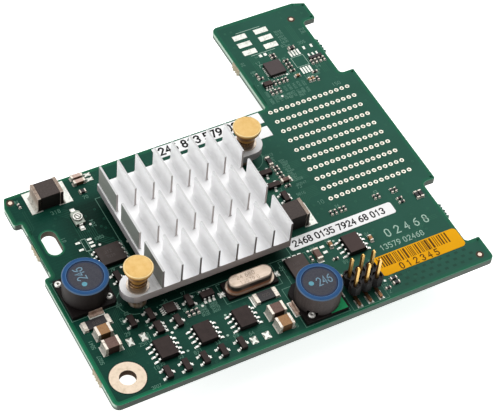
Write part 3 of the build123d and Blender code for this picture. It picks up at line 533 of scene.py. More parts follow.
def ceramic(name, a, b, rough=0.45, spec=0.2, pale=None):
    """Fired ceramic; its front face is darker with painted shade."""
    n = Nodes(name, a, rough, spec=spec)
    x, y, z = n.xyz()
    g = n.noise(n.vec(), 3.0, 5.0)
    s = n.noise(n.vec(), 14.0, 2.0)
    c = n.mix(n.range(g, 0.3, 0.72), a, b)
    c = n.mix(n.range(s, 0.62, 0.8, 0.0, 0.35), c, scaled(b, 1.35))
    if pale:
        spot = n.math("MULTIPLY", n.math("LESS_THAN", x, 13.6), n.math("GREATER_THAN", y, 48.0))
        c = n.mix(spot, c, n.mix(g, pale, scaled(pale, 0.85)))
    # painted shade on the front face
    c = n.mix(n.range(n.normal()[1], -0.9, -0.6, 1.0, 0.0), c, scaled(a, 0.3))
    n.color(c)
    n.rough(n.range(g, 0.2, 0.8, rough - 0.08, rough + 0.1))
    n.bump(n.math("ADD", g, n.math("MULTIPLY", s, 0.3)), 0.25, 0.02)
    return n.m


def ink(name, color, rough=0.55, right=None, corner=None):
    """A printed or masked film; the other colours are painted sheen towards the right and painted light at the front
    left.
    """
    n = Nodes(name, color, rough, spec=0.08)
    g = n.noise(n.vec(), 7.0, 4.0)
    c = n.mix(n.range(g, 0.35, 0.7), scaled(color, 0.82), color)
    if right:
        c = n.mix(n.range(n.xyz()[0], 0.0, 60.0), c, n.mix(n.range(g, 0.35, 0.7), scaled(right, 0.88), right))
    if corner:
        x, y, _ = n.xyz()
        near = n.math("MULTIPLY", n.range(y, 8.0, 24.0, 1.0, 0.0), n.range(x, 2.0, 16.0, 1.0, 0.0))
        c = n.mix(near, c, corner)
    n.color(c)
    n.rough(n.range(g, 0.2, 0.8, rough - 0.08, rough + 0.08))
    n.bump(g, 0.1, 0.006)
    return n.m


M = {
    "board": board_material(),
    "solder": patchy_metal("tinned_pad", srgb(232, 234, 226), srgb(186, 187, 178), 0.44, 0.35, 0.9, FIDUCIALS),
    "via": patchy_metal("via_plating", srgb(240, 236, 222), srgb(196, 192, 176), 0.44, 0.4, 2.4),
    "ring": patchy_metal("hole_ring", srgb(234, 214, 190), srgb(212, 192, 164), 0.5, 0.15, 0.7),
    "gold": gold_material(),
    "package": package_material("moulded_package", srgb(52, 42, 40), srgb(20, 17, 17), 0.5, 0.12),
    "power": package_material("power_package", srgb(60, 51, 48), srgb(22, 19, 18), 0.5, 0.2),
    "pale_package": package_material("small_package", srgb(52, 44, 44), srgb(24, 21, 21), 0.48, 0.25),
    "connector": plastic("connector_moulding", srgb(34, 33, 34), 0.42, 9.0, 0.2),
    "header": plastic("header_moulding", srgb(22, 20, 21), 0.4, 9.0, 0.1, spec=0.22),
    "ind_base": inductor_base_material(),
    "sink": heat_sink_material(),
    "thermal": plastic("thermal_pad_grey", srgb(150, 152, 156), 0.7, 5.0, 0.3, 0.03),
    "brass": brass_material(),
    "spring": metal("spring_wire", srgb(150, 122, 92), 0.3, 0.1, 4.0, 0.1, 0.02, dark=srgb(96, 72, 50)),
    "washer": metal("seat_washer", srgb(206, 192, 176), 0.36, 0.1, 4.0, 0.1, 0.02, body=0.7),
    "nylon": spacer_material(),
    "shell": inductor_shell_material(),
    "drum": inductor_drum_material(),
    "strap": strap_material(),
    "dark_ceramic": ceramic("dark_ceramic", srgb(64, 55, 52), srgb(82, 72, 68), 0.52),
    "mauve": ceramic("mauve_ceramic", srgb(100, 74, 65), srgb(122, 96, 87), 0.46),
    "tan": ceramic("tan_ceramic", srgb(150, 108, 68), srgb(174, 132, 90), 0.46, pale=srgb(214, 186, 172)),
    "chip": ceramic("black_chip", srgb(32, 30, 31), srgb(52, 48, 49), 0.42, 0.3),
    "cap": patchy_metal("chip_end_tin", srgb(218, 209, 197), srgb(152, 141, 128), 0.42, 0.5, 1.3),
    "block_cap": block_end_material(),
    "can": crystal_material(),
    "lead": patchy_metal("tinned_lead", srgb(232, 231, 226), srgb(168, 165, 158), 0.38, 0.6, 2.0),
    "trimmer_base": ceramic("trimmer_ceramic", srgb(150, 160, 146), srgb(196, 203, 192), 0.4),
    "trimmer_rotor": trimmer_rotor_material(),
    "white": label_material("white_film", srgb(255, 255, 255), 0.5),
    "yellow": label_material("yellow_film", srgb(242, 172, 4), 0.55, 0.08, 0.08),
    "silk": ink("silkscreen_ink", srgb(176, 206, 190)),
    "silk_dim": ink("silkscreen_ink_dim", srgb(104, 148, 130)),
    "black_ink": ink("black_ink", srgb(30, 29, 30)),
    "brown_ink": ink("brown_ink", srgb(100, 64, 12)),
    "grey_ink": ink("grey_ink", srgb(96, 88, 86)),
    "can_ink": ink("can_ink", srgb(132, 112, 96)),
    "blue_ink": ink("pale_blue_ink", srgb(128, 162, 182)),
    "teal_ink": ink("teal_ink", srgb(108, 170, 188)),
    "fillet": patchy_metal("solder_fillet", srgb(212, 207, 197), srgb(138, 133, 124), 0.46, 0.45, 1.6),
    # the right-hand tones of these mask inks are painted sheen, and the borders' front-left tone painted light
    "rim": ink("mask_rim", srgb(74, 134, 106), 0.4, srgb(92, 146, 120)),
    "band": ink("mask_border", srgb(18, 98, 67), 0.4, srgb(28, 100, 73), srgb(16, 116, 80)),
    "band_in": ink("mask_border_inner", srgb(14, 82, 59), 0.4, srgb(34, 96, 75), srgb(14, 99, 68)),
    "trace": ink("mask_over_copper", srgb(22, 76, 60), 0.42, srgb(46, 100, 80)),
    "dark_mask": ink("mask_clearing", srgb(12, 44, 34), 0.4),
    "squares": ink("mask_squares", srgb(34, 76, 62), 0.42),
    "painted_pad_shade": ink("painted_pad_shade", srgb(132, 140, 128), 0.5),
    "brown_gap": ink("brown_gap", srgb(74, 64, 54), 0.5),
    "hole": ink("via_shadow", srgb(52, 58, 50), 0.6),
}

NODE_MATERIAL = {
    "circuit_board": "board", "mounting_pads": "ring", "connector_vias": "via", "connector_housing": "connector",
    "connector_contacts": "gold", "heat_sink": "sink", "heat_sink_fins": "sink", "heat_sink_ears": "sink", "controller_package": "package", "thermal_pad": "thermal",
    "spring_pins": "brass", "pin_springs": "spring", "pin_washers": "washer", "pin_sleeves": "nylon",
    "inductor_bases": "ind_base", "inductor_shells": "shell", "inductor_drums": "drum", "inductor_terminals": "strap",
    "large_capacitor_bodies": "dark_ceramic", "large_capacitor_ends": "block_cap", "crystal_can": "can",
    "crystal_base": "ind_base", "crystal_leads": "lead", "so8_bodies": "package", "so8_leads": "lead",
    "transistor_bodies": "package", "transistor_leads": "lead", "small_chip_bodies": "package", "small_chip_leads": "lead",
    "leadless_chip": "pale_package", "power_chip_bodies": "power", "power_chip_leads": "lead", "header_body": "header",
    "header_pins": "gold", "sense_resistor_bodies": "chip", "sense_resistor_ends": "cap",
    "capacitor_bodies_mauve": "mauve", "capacitor_bodies_tan": "tan", "chip_resistor_bodies": "chip",
    "chip_end_caps": "cap", "trimmer_base": "trimmer_base", "trimmer_rotor": "trimmer_rotor", "trimmer_tabs": "lead", "solder_pads": "solder",
    "paper_labels": "white", "striped_label": "yellow",
}
for name, obj in NODES.items():
    mat = M[NODE_MATERIAL[name]]
    if not obj.material_slots:
        obj.data.materials.append(mat)
    for s in obj.material_slots:
        s.material = mat


# -------------------------------------------------------------------- meshes
def piece(name, bm, mat, smooth=False):
    mesh = bpy.data.meshes.new(name)
    bm.normal_update()
    bm.to_mesh(mesh)
    bm.free()
    for p in mesh.polygons:
        p.use_smooth = smooth
    mesh.materials.append(M[mat])
    o = bpy.data.objects.new(name, mesh)
    scene.collection.objects.link(o)
    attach(o, "root")
    return o


def vert(bm, x, y, z):
    return bm.verts.new((x * MM, y * MM, z * MM))


def ribbon(bm, pts, width, z, closed=False):
    """A flat mitred strip along a path in plan."""
    n = len(pts)
    left, right = [], []
    for i, p in enumerate(pts):
        a = pts[i - 1] if (i > 0 or closed) else None
        b = pts[(i + 1) % n] if (i < n - 1 or closed) else None
        d1 = (Vector(p) - Vector(a)).normalized() if a is not None else None
        d2 = (Vector(b) - Vector(p)).normalized() if b is not None else None
        d1, d2 = d1 or d2, d2 or d1
        t = d1 + d2
        t = t.normalized() if t.length > 1e-6 else d1
        nrm = Vector((-t.y, t.x))
        k = max(0.5, abs(nrm.dot(Vector((-d1.y, d1.x)))))
        off = nrm * (width / 2 / k)
        q = Vector(p)
        if not closed and i == 0:
            q = q - d2 * width / 2
        if not closed and i == n - 1:
            q = q + d1 * width / 2
        left.append(vert(bm, q.x + off.x, q.y + off.y, z))
        right.append(vert(bm, q.x - off.x, q.y - off.y, z))
    for i in range(n if closed else n - 1):
        j = (i + 1) % n
        bm.faces.new((right[i], right[j], left[j], left[i]))


def rect(bm, x0, x1, y0, y1, z):
    bm.faces.new([vert(bm, x0, y0, z), vert(bm, x1, y0, z), vert(bm, x1, y1, z), vert(bm, x0, y1, z)])


def disc(bm, x, y, r, z, n=20, inner=0.0):
    ring = [(x + r * math.cos(2 * math.pi * k / n), y + r * math.sin(2 * math.pi * k / n)) for k in range(n)]
    if inner <= 0:
        bm.faces.new([vert(bm, a, b, z) for a, b in ring])
    else:
        out = [vert(bm, a, b, z) for a, b in ring]
        inn = [vert(bm, x + inner * math.cos(2 * math.pi * k / n), y + inner * math.sin(2 * math.pi * k / n), z) for k in range(n)]
        for k in range(n):
            j = (k + 1) % n
            bm.faces.new((out[k], out[j], inn[j], inn[k]))


DIGITS = {
    "0": [([(0.6, 0), (1.4, 0), (2, 0.8), (2, 3.2), (1.4, 4), (0.6, 4), (0, 3.2), (0, 0.8)], True)],
    "1": [([(0.4, 3.1), (1.2, 4), (1.2, 0)], False)],
    "2": [([(0, 3.2), (0.6, 4), (1.4, 4), (2, 3.3), (2, 2.6), (0, 0), (2, 0)], False)],
    "3": [([(0, 3.4), (0.6, 4), (1.4, 4), (2, 3.4), (2, 2.7), (1.3, 2.1), (2, 1.5), (2, 0.7), (1.4, 0), (0.6, 0), (0, 0.6)], False)],
    "4": [([(1.5, 0), (1.5, 4), (0, 1.3), (2, 1.3)], False)],
    "5": [([(1.9, 4), (0.2, 4), (0.1, 2.3), (1.4, 2.4), (2, 1.7), (2, 0.7), (1.4, 0), (0.5, 0), (0, 0.5)], False)],
    "6": [([(1.8, 3.9), (0.8, 3.4), (0.1, 2.2), (0, 0.8), (0.6, 0), (1.4, 0), (2, 0.7), (2, 1.6), (1.5, 2.3), (0.6, 2.3), (0.05, 1.7)], False)],
    "7": [([(0, 4), (2, 4), (0.8, 0)], False)],
    "8": [([(0.6, 2.1), (0.1, 2.7), (0.1, 3.4), (0.6, 4), (1.4, 4), (1.9, 3.4), (1.9, 2.7), (1.4, 2.1), (2, 1.5), (2, 0.7), (1.4, 0), (0.6, 0), (0, 0.7), (0, 1.5)], True),
          ([(0.6, 2.1), (1.4, 2.1)], False)],
    "9": [([(0.2, 0.1), (1.2, 0.6), (1.9, 1.8), (2, 3.2), (1.4, 4), (0.6, 4), (0, 3.3), (0, 2.4), (0.5, 1.7), (1.4, 1.7), (1.95, 2.3)], False)],
}


def numbers(bm, text, x, y, height, z, stroke=0.12, angle=0.0, gap=1.3, wide=1.0):
    """Plain digits, starting at (x, y), along a direction in plan."""
    k = height / 4
    c, s = math.cos(math.radians(angle)), math.sin(math.radians(angle))
    pen = 0.0
    for ch in text:
        if ch == " ":
            pen += 1.6 * k * wide
            continue
        for pts, closed in DIGITS[ch]:
            path = []
            for u, v in pts:
                a, b = pen + u * k * wide, v * k
                path.append((x + a * c - b * s, y + a * s + b * c))
            ribbon(bm, path, stroke, z, closed)
        pen += (2 + gap) * k * wide


def islands(node):
    """The boxes of a node's separate solids, in millimetres: (low, high)."""
    mesh = NODES[node].data
    parent = list(range(len(mesh.vertices)))

    def find(a):
        while parent[a] != a:
            parent[a] = parent[parent[a]]
            a = parent[a]
        return a

    seen = {}
    for v in mesh.vertices:
        key = (round(v.co.x * 1e6), round(v.co.y * 1e6), round(v.co.z * 1e6))
        if key in seen:
            parent[find(v.index)] = find(seen[key])
        else:
            seen[key] = v.index
    for e in mesh.edges:
        a, b = find(e.vertices[0]), find(e.vertices[1])
        if a != b:
            parent[a] = b
    groups = {}
    for v in mesh.vertices:
        r = find(v.index)
        lo, hi = groups.setdefault(r, ([1e9] * 3, [-1e9] * 3))
        for i in range(3):
            c = v.co[i] * 1000
            lo[i] = min(lo[i], c)
            hi[i] = max(hi[i], c)
    return sorted((tuple(lo), tuple(hi)) for lo, hi in groups.values())


# ------------------------------------------- borders, tracks and small vias
OUTLINE = [(-5.17, -5.3), (82.28, -5.3), (82.28, 1.0), (79.0, 1.0), (79.0, 18.7), (82.28, 18.7), (82.28, 54.35),
           (78.9, 54.35), (78.9, 72.1), (82.28, 72.1), (82.28, 77.4), (79.4, 78.5), (58.28, 78.5), (58.28, 51.6),
           (-4.25, 51.6), (-5.17, 49.1), (-5.17, 43.8), (-3.5, 43.8), (-3.5, 28.8), (-5.17, 28.8)]
CORNER_R = [1.5, 1.2, 0.35, 0.9, 1.1, 0.35, 0.35, 1.0, 1.0, 0.35, 0.3, 0.3, 1.5, 0.6, 0.5, 0.5, 0.8, 0.4, 0.4, 0.8]


def rounded(pts, radii, steps=6):
    out, n = [], len(pts)
    for i, (p, r) in enumerate(zip(pts, radii)):
        p, a, b = Vector(p), Vector(pts[i - 1]), Vector(pts[(i + 1) % n])
        u, w = (a - p).normalized(), (b - p).normalized()
        half = math.acos(max(-1, min(1, u.dot(w)))) / 2
        d = r / math.tan(half)
        s, e = p + u * d, p + w * d
        c = p + (u + w).normalized() * (r / math.sin(half))
        a0, a1 = math.atan2(s.y - c.y, s.x - c.x), math.atan2(e.y - c.y, e.x - c.x)
        da = (a1 - a0 + math.pi) % (2 * math.pi) - math.pi
        for k in range(steps + 1):
            t = a0 + da * k / steps
            out.append((c.x + r * math.cos(t), c.y + r * math.sin(t)))
    return out


edge = rounded(OUTLINE, CORNER_R)
count = len(edge)


def inset(pts, d):
    out = []
    n = len(pts)
    for i, p in enumerate(pts):
        a, b = Vector(pts[i - 1]), Vector(pts[(i + 1) % n])
        t = (b - a).normalized()
        out.append((p[0] - t.y * d, p[1] + t.x * d))
    return out


def border(name, mat, d0, d1, lift):
    b = bmesh.new()
    outer, inner = inset(edge, d0), inset(edge, d1)
    for z, flip in ((TOP + lift, False), (-lift, True)):
        a = [vert(b, x, y, z) for x, y in outer]
        c = [vert(b, x, y, z) for x, y in inner]
        for i in range(count):
            j = (i + 1) % count
            quad = (a[i], a[j], c[j], c[i])
            b.faces.new(quad[::-1] if flip else quad)
    return b


# painted highlight: a pale line along the board's edge and round the slot
b = border("mask_rim", "rim", 0.02, 0.13, 0.004)
slot_path = []
for k in range(25):
    t = math.radians(180 + 7.5 * k)
    slot_path.append((0.1 + 1.72 * math.cos(t), 36.65 - 1.6 + 1.72 * math.sin(t)))
for k in range(25):
    t = math.radians(7.5 * k)
    slot_path.append((0.1 + 1.72 * math.cos(t), 36.65 + 1.6 + 1.72 * math.sin(t)))
ribbon(b, slot_path, 0.13, TOP + 0.004, True)
piece("mask_rim", b, "rim")
b = border("mask_border", "band", 0.13, 0.52, 0.004)
ribbon(b, [(0.1 + (x - 0.1) * 1.13, 36.65 + (y - 36.65) * 1.065) for x, y in slot_path], 0.30, TOP + 0.003, True)
piece("mask_border", b, "band")
piece("mask_border_inner", border("mask_border_inner", "band_in", 0.52, 0.92, 0.003), "band_in")

rng = random.Random(7)
bm = bmesh.new()


def bus(x, y, moves, lanes, pitch, width):
    """Parallel tracks that turn together in 45 degree steps."""
    pts = [Vector((x, y))]
    for dx, dy in moves:
        pts.append(pts[-1] + Vector((dx, dy)))
    for k in range(lanes):
        off = (k - (lanes - 1) / 2) * pitch
        path = []
        for i, p in enumerate(pts):
            d1 = (pts[i] - pts[i - 1]).normalized() if i else (pts[1] - pts[0]).normalized()
            d2 = (pts[i + 1] - pts[i]).normalized() if i < len(pts) - 1 else d1
            t = (d1 + d2).normalized()
            nrm = Vector((-t.y, t.x))
            q = p + nrm * (off / max(0.6, nrm.dot(Vector((-d1.y, d1.x)))))
            path.append((q.x, q.y))
        ribbon(bm, path, width, TOP + 0.003)


bus(43.9, 24.0, [(8, 0), (2.5, 2.5), (3, 0)], 7, 0.42, 0.16)
bus(43.9, 29.0, [(4, 0), (2.5, 2.5), (7, 0)], 6, 0.42, 0.16)
bus(44.5, 33.2, [(9, 0), (1.5, 1.5), (2.5, 0)], 5, 0.42, 0.16)
bus(59.8, 52.5, [(0, 6), (3.0, 3.0), (0, 8)], 5, 0.4, 0.15)
bus(76.5, 56.0, [(0, 8), (-1.5, 1.5), (0, 7)], 4, 0.4, 0.15)
bus(7.0, 32.5, [(0, 9), (-4, 4), (-4, 0)], 5, 0.45, 0.16)
bus(12.0, 31.5, [(-3, 3), (0, 3.5)], 4, 0.45, 0.16)
bus(3.2, 4.5, [(0, 9), (3, 3)], 4, 0.4, 0.15)
bus(22.7, -0.3, [(6.5, 0), (2, -2)], 4, 0.4, 0.15)
bus(62.5, 7.6, [(9, 0), (2, 2), (3.5, 0)], 3, 0.42, 0.15)
bus(-3.4, 30.2, [(0, 10), (1.5, 1.5), (0, 5)], 2, 0.45, 0.18)
bus(21.0, 45.5, [(-4, 0), (-3, 3)], 4, 0.45, 0.16)
piece("tracks_under_mask", bm, "trace")
bm = bmesh.new()
for j in range(3):
    for i in range(9):
        x = 61.4 + 1.95 * i + 0.95 * (j % 2)
        y = -3.7 + 1.35 * j
        rect(bm, x, x + 0.85, y, y + 0.62, TOP + 0.003)
piece("squares_under_mask", bm, "squares")

# ------------------------------------------------------------ solder fillets
bodies = []
for node in ("capacitor_bodies_mauve", "capacitor_bodies_tan", "chip_resistor_bodies", "sense_resistor_bodies", "large_capacitor_bodies"):
    bodies += [(lo, hi, node) for lo, hi in islands(node)]
bm = bmesh.new()


def fillet(axis, sign, face, a0, a1, z0, rise, run, skew=0.0):
    """A concave ramp of solder against a vertical face, closed on all sides."""
    steps = 5
    prof = [(face, z0), (face, z0 + rise)]
    for k in range(1, steps):
        t = k / steps
        prof.append((face + sign * run * t, z0 + rise * (1 - t) ** 2.2 + 0.008))
    prof.append((face + sign * run, z0))
    rows = []
    for a, pull in ((a0, 0.0), (a1, skew)):
        row = []
        for u, z in prof:
            row.append(vert(bm, u, a, z) if axis == 0 else vert(bm, a, u, z))
        rows.append(row)
    n = len(prof)
    flip = (sign > 0) == (axis == 0)
    for i in range(n):
        j = (i + 1) % n
        q = (rows[0][i], rows[0][j], rows[1][j], rows[1][i])
        bm.faces.new(q if flip else q[::-1])
    bm.faces.new(rows[0][::-1] if flip else rows[0])
    bm.faces.new(rows[1] if flip else rows[1][::-1])


for node in ("chip_end_caps", "sense_resistor_ends", "large_capacitor_ends"):
    for lo, hi in islands(node):
        cx, cy = (lo[0] + hi[0]) / 2, (lo[1] + hi[1]) / 2
        near = min(bodies, key=lambda b: ((b[0][0] + b[1][0]) / 2 - cx) ** 2 + ((b[0][1] + b[1][1]) / 2 - cy) ** 2)
        bx, by = (near[0][0] + near[1][0]) / 2, (near[0][1] + near[1][1]) / 2
        h = hi[2] - lo[2]
        axis = 0 if abs(cx - bx) > abs(cy - by) else 1
        sign = 1 if (cx - bx if axis == 0 else cy - by) > 0 else -1
        face = (hi if sign > 0 else lo)[axis]
        a0, a1 = lo[1 - axis], hi[1 - axis]
        if node == "large_capacitor_ends":
            run, rise = 0.6, 1.1
        elif h > 1.5:
            run, rise = 0.42, 1.0
        elif h > 0.55:
            run, rise = 0.26, h * 0.55
        else:
            run, rise = 0.11, h * 0.6
        fillet(axis, sign, face, a0, a1, SEAT, rise, run)
piece("solder_fillets", bm, "fillet", smooth=False)

# bare pads: painted shade on the solder towards their sides
bm = bmesh.new()
covers = [b for node in ("inductor_bases", "so8_bodies", "power_chip_bodies", "crystal_base", "trimmer_tabs", "sense_resistor_ends",
                         "chip_end_caps", "large_capacitor_ends", "leadless_chip", "power_chip_leads", "inductor_terminals") for b in islands(node)]
for lo, hi in islands("solder_pads"):
    w, d = hi[0] - lo[0], hi[1] - lo[1]
    cx, cy = (lo[0] + hi[0]) / 2, (lo[1] + hi[1]) / 2
    if not (0.9 < w < 2.2 and 0.9 < d < 2.2) or cy > 60 or any(a[0] < hi[0] and lo[0] < b[0] and a[1] < hi[1] and lo[1] < b[1] for a, b in covers):
        continue
    z = hi[2] + 0.004
    for sx in (1, -1):
        bm.faces.new([vert(bm, cx + sx * (w / 2 - 0.02), cy - sx * d * 0.36, z), vert(bm, cx + sx * (w / 2 - 0.02), cy + sx * d * 0.36, z),
                      vert(bm, cx + sx * w * 0.26, cy, z)])
        bm.faces.new([vert(bm, cx + sx * w * 0.36, cy + sx * (d / 2 - 0.02), z), vert(bm, cx - sx * w * 0.36, cy + sx * (d / 2 - 0.02), z),
                      vert(bm, cx, cy + sx * d * 0.26, z)])
if bm.faces:
    piece("bare_pad_shading", bm, "painted_pad_shade")

# ------------------------------------------------------- legend on the board
silk = bmesh.new()
dim = bmesh.new()
ZS = TOP + 0.018
LW = 0.13


def frame_line(b, x0, x1, y0, y1, w=LW, z=ZS):
    ribbon(b, [(x0, y0), (x1, y0), (x1, y1), (x0, y1)], w, z, True)


def brackets(b, x0, x1, y0, y1, along="x", w=LW):
    if along == "x":
        ribbon(b, [(x0, y0), (x1, y0)], w, ZS)
        ribbon(b, [(x0, y1), (x1, y1)], w, ZS)
    else:
        ribbon(b, [(x0, y0), (x0, y1)], w, ZS)
        ribbon(b, [(x1, y0), (x1, y1)], w, ZS)


for cx, cy in INDUCTORS:
    frame_line(dim, cx - 5.25, cx + 5.0, cy - 5.25, cy + 5.2)
# round the heat sink and its ears
sink_line = [(13.15, 19.9), (13.15, 43.7), (45.6, 43.7)]
ribbon(dim, sink_line, LW, ZS)
ribbon(dim, [(13.3, 13.1), (43.6, 13.1), (43.6, 36.8)], LW, ZS)
for (ex, ey), (a0, a1) in (((9.15, 16.43), (95, 265)), ((47.5, 40.3), (-85, 85))):
    arc = [(ex + 3.5 * math.cos(math.radians(a)), ey + 3.5 * math.sin(math.radians(a))) for a in range(a0, a1 + 1, 10)]
    ribbon(dim, arc, LW, ZS)
frame_line(dim, 25.8, 38.6, 7.55, 12.75, 0.11)
for x, y in ((13.5, 0.73), (22.35, 0.73), (24.2, 5.37), (53.5, 12.8)):
    disc(silk, x, y, 0.27, ZS, 14)
for lo, hi in islands("small_chip_bodies"):
    ribbon(dim, [(lo[0] - 0.1, hi[1] + 0.25), (hi[0] + 0.1, hi[1] + 0.25)], 0.1, ZS)
    disc(dim, lo[0] - 0.9, hi[1] + 0.3, 0.14, ZS, 10)
for lo, hi in islands("power_chip_bodies"):
    frame_line(dim, lo[0] - 0.9, hi[0] + 0.9, lo[1] - 0.5, hi[1] + 0.5, 0.1)
lo, hi = islands("leadless_chip")[0]
for sx, x in ((1, lo[0] - 0.55), (-1, hi[0] + 0.55)):
    for sy, y in ((1, lo[1] - 0.55), (-1, hi[1] + 0.55)):
        ribbon(silk, [(x, y + sy * 0.8), (x, y), (x + sx * 0.8, y)], 0.1, ZS)
frame_line(dim, 48.55, 56.95, -4.75, 4.6, 0.11)
frame_line(silk, 5.7, 6.75, 31.7, 34.9, 0.10)
frame_line(silk, 70.75, 73.85, 59.75, 62.9, 0.11)
ribbon(silk, [(62.9, 74.85), (68.9, 74.85)], LW, ZS)
ribbon(silk, [(62.9, 67.15), (68.9, 67.15)], LW, ZS)
# rows of small numbers in open areas
columns = random.Random(33)
for k in range(9):
    y = 36.6 - 0.66 * k
    t = "".join(columns.choice("0123456789") for _ in range(4 + k % 2))
    numbers(dim, t, 53.5 + 0.16 * (k % 3), y, 0.46, ZS, 0.085, 0, 1.0)
for t, x, y, h in (("7412", 51.6, 39.0, 0.62), ("63058", 53.9, 30.5, 0.62), ("90247", 54.0, 29.1, 0.62), ("5816", 52.6, 26.6, 0.7),
                   ("8352", 66.0, 59.0, 0.55), ("1479", 63.3, 66.0, 0.6), ("6203", 8.6, 33.6, 0.7), ("3907", 3.2, -4.6, 0.7),
                   ("25814", 5.4, 5.6, 0.8), ("731", 2.9, 16.9, 0.6), ("640", 5.2, 16.2, 0.6), ("4091", 71.2, 69.6, 0.6),
                   ("2758", 71.2, 68.7, 0.6), ("6630", 71.2, 67.8, 0.6), ("5172", 71.2, 70.5, 0.6), ("8046", 71.2, 71.4, 0.6),
                   ("913", 76.9, 69.8, 0.6), ("286", 76.9, 68.9, 0.6), ("7305", 61.3, 53.6, 0.55), ("1824", 61.9, 52.8, 0.55),
                   ("6950", 64.6, 53.2, 0.55), ("3417", 64.2, 52.3, 0.55), ("5083", 67.4, 52.6, 0.55), ("2961", 67.0, 51.7, 0.55),
                   ("4780", 73.6, 57.0, 0.55), ("1359", 73.2, 56.1, 0.55), ("638", 60.2, 62.2, 0.55), ("472", 60.2, 61.3, 0.55)):
    numbers(dim, t, x, y, h, ZS, 0.09, 0, 1.0)

for k in range(9):
    for y in (52.1, 54.3):
        t = "".join(columns.choice("0123456789") for _ in range(4))
        numbers(dim, t, 60.9 + 1.15 * k, y + 0.12 * (k % 2), 0.6, ZS, 0.09, 90, 1.0)
for k in range(5):
    t = "".join(columns.choice("0123456789") for _ in range(5))
    numbers(dim, t, 19.9 + 0.1 * (k % 2), 9.5 - 0.66 * k, 0.48, ZS, 0.085, 0, 1.0)
    numbers(dim, t[::-1], 22.4 + 0.1 * (k % 2), 9.5 - 0.66 * k, 0.48, ZS, 0.085, 0, 1.0)
for t, x, y in (("5027", -2.7, 4.9), ("5041", -2.7, 8.9), ("862", 5.2, 11.9), ("380", 8.2, 6.6)):
    numbers(dim, t, x, y, 0.75, ZS, 0.11, 90, 1.0)

# reference numbers, plain and arbitrary, beside the parts
taken = []


def mark(b, text, x, y, h=0.8, angle=0.0, stroke=0.11):
    numbers(b, text, x, y, h, ZS, stroke, angle)


for node, size in (("chip_resistor_bodies", 0.62), ("capacitor_bodies_tan", 0.7), ("capacitor_bodies_mauve", 0.7),
                   ("transistor_bodies", 0.7), ("small_chip_bodies", 0.75)):
    for k, (lo, hi) in enumerate(islands(node)):
        if node == "chip_resistor_bodies" and k % 2:
            continue
        t = f"{rng.randrange(10, 99)}"
        wide = hi[0] - lo[0] > hi[1] - lo[1]
        if wide:
            mark(dim, t, lo[0] - 0.1, hi[1] + 0.35, size)
        else:
            mark(dim, t, (lo[0] + hi[0]) / 2 - 0.5, hi[1] + 0.75, size)
for lo, hi in islands("so8_bodies"):
    mark(dim, f"{rng.randrange(10, 99)}", lo[0] - 1.9, lo[1] - 0.9, 0.8)
for t, x, y, h, a in (("204", 10.4, 37.0, 0.9, 90), ("61", 3.0, 35.8, 0.8, 90), ("318", 3.2, 43.4, 0.9, 0), ("70", 11.0, 44.6, 0.8, 0),
                      ("52", 40.6, 10.4, 0.8, 90), ("196", 52.9, 36.8, 0.8, 90), ("73", 53.6, 28.4, 0.8, 0), ("40", 46.9, 25.3, 0.8, 0),
                      ("8", 57.5, 4.4, 0.9, 0), ("2", 57.5, -3.9, 0.9, 0), ("15", 41.6, 7.0, 0.8, 0), ("26", 60.2, 65.0, 0.8, 90),
                      ("305", 74.6, 66.0, 0.8, 0), ("94", 74.8, 57.9, 0.8, 0), ("17", 62.6, 64.1, 0.8, 0), ("83", 70.6, 66.7, 0.8, 0),
                      ("150", 75.4, 51.4, 0.9, 0), ("1", 56.0, 49.6, 1.0, 0), ("10", 55.6, 22.6, 1.0, 0),
                      ("29", 3.9, 9.0, 0.8, 0), ("64", 26.4, -1.2, 0.8, 0), ("37", 29.0, 2.9, 0.8, 90), ("5", 36.0, -3.4, 0.8, 0)):
    mark(dim, t, x, y, h, a)
# where the maker's print was: plain counting numbers, in rows of other sizes
mark(silk, "0 2 4 6 8", 64.6, 9.0, 1.9, 0, 0.26)
mark(silk, "13579 02468", 61.6, 6.3, 1.25, 0, 0.16)
piece("board_legend", silk, "silk")
piece("board_legend_fine", dim, "silk_dim")

# a dark gap round the mounting hole's pad
bm = bmesh.new()
disc(bm, 0, 0, 3.95, TOP + 0.006, 64, 3.72)
piece("ring_clearing", bm, "dark_mask")

# dark clearings round the fiducials and fine tented vias
bm = bmesh.new()
for x, y in FIDUCIALS:
    disc(bm, x, y, 0.9, TOP + 0.006, 28, 0.47)
piece("fiducial_clearings", bm, "brown_gap")

bm = bmesh.new()
occupied = []
for node in NODES:
    if node in ("circuit_board", "connector_housing", "connector_contacts"):
        continue
    occupied += [(lo[0] - 0.35, hi[0] + 0.35, lo[1] - 0.35, hi[1] + 0.35) for lo, hi in islands(node)]
tented = []
zones = [(-4, 56, -4, 50.5, 60), (59.5, 81, 53.5, 77.5, 24), (57.5, 78, -4, 21, 24), (56.5, 81.5, 20, 53, 12)]


def well_inside(x, y, margin):
    """True where a point of the plan lies within the outline, away from its edges."""
    hit = False
    for i, (ax, ay) in enumerate(OUTLINE):
        bx, by = OUTLINE[i - 1]
        if (ay > y) != (by > y) and x < (bx - ax) * (y - ay) / (by - ay) + ax:
            hit = not hit
        t = max(0.0, min(1.0, ((x - ax) * (bx - ax) + (y - ay) * (by - ay)) / ((bx - ax) ** 2 + (by - ay) ** 2)))
        if math.hypot(x - ax - t * (bx - ax), y - ay - t * (by - ay)) < margin:
            return False
    return hit


for x0, x1, y0, y1, want in zones:
    got = tries = 0
    while got < want and tries < 4000:
        tries += 1
        x, y = rng.uniform(x0, x1), rng.uniform(y0, y1)
        if any(a < x < b and c < y < d for a, b, c, d in occupied) or not well_inside(x, y, 1.2):
            continue
        if abs(x) < 4.4 and abs(y) < 4.4 or (-1.8 < x < 2.0 and 33 < y < 40.3):
            continue
        if any((x - p) ** 2 + (y - q) ** 2 < 0.9 for p, q in tented):
            continue
        tented.append((x, y))
        got += 1
for x, y in tented:
    disc(bm, x, y, 0.3, TOP + 0.008, 12, 0.13)
piece("tented_vias", bm, "trace")

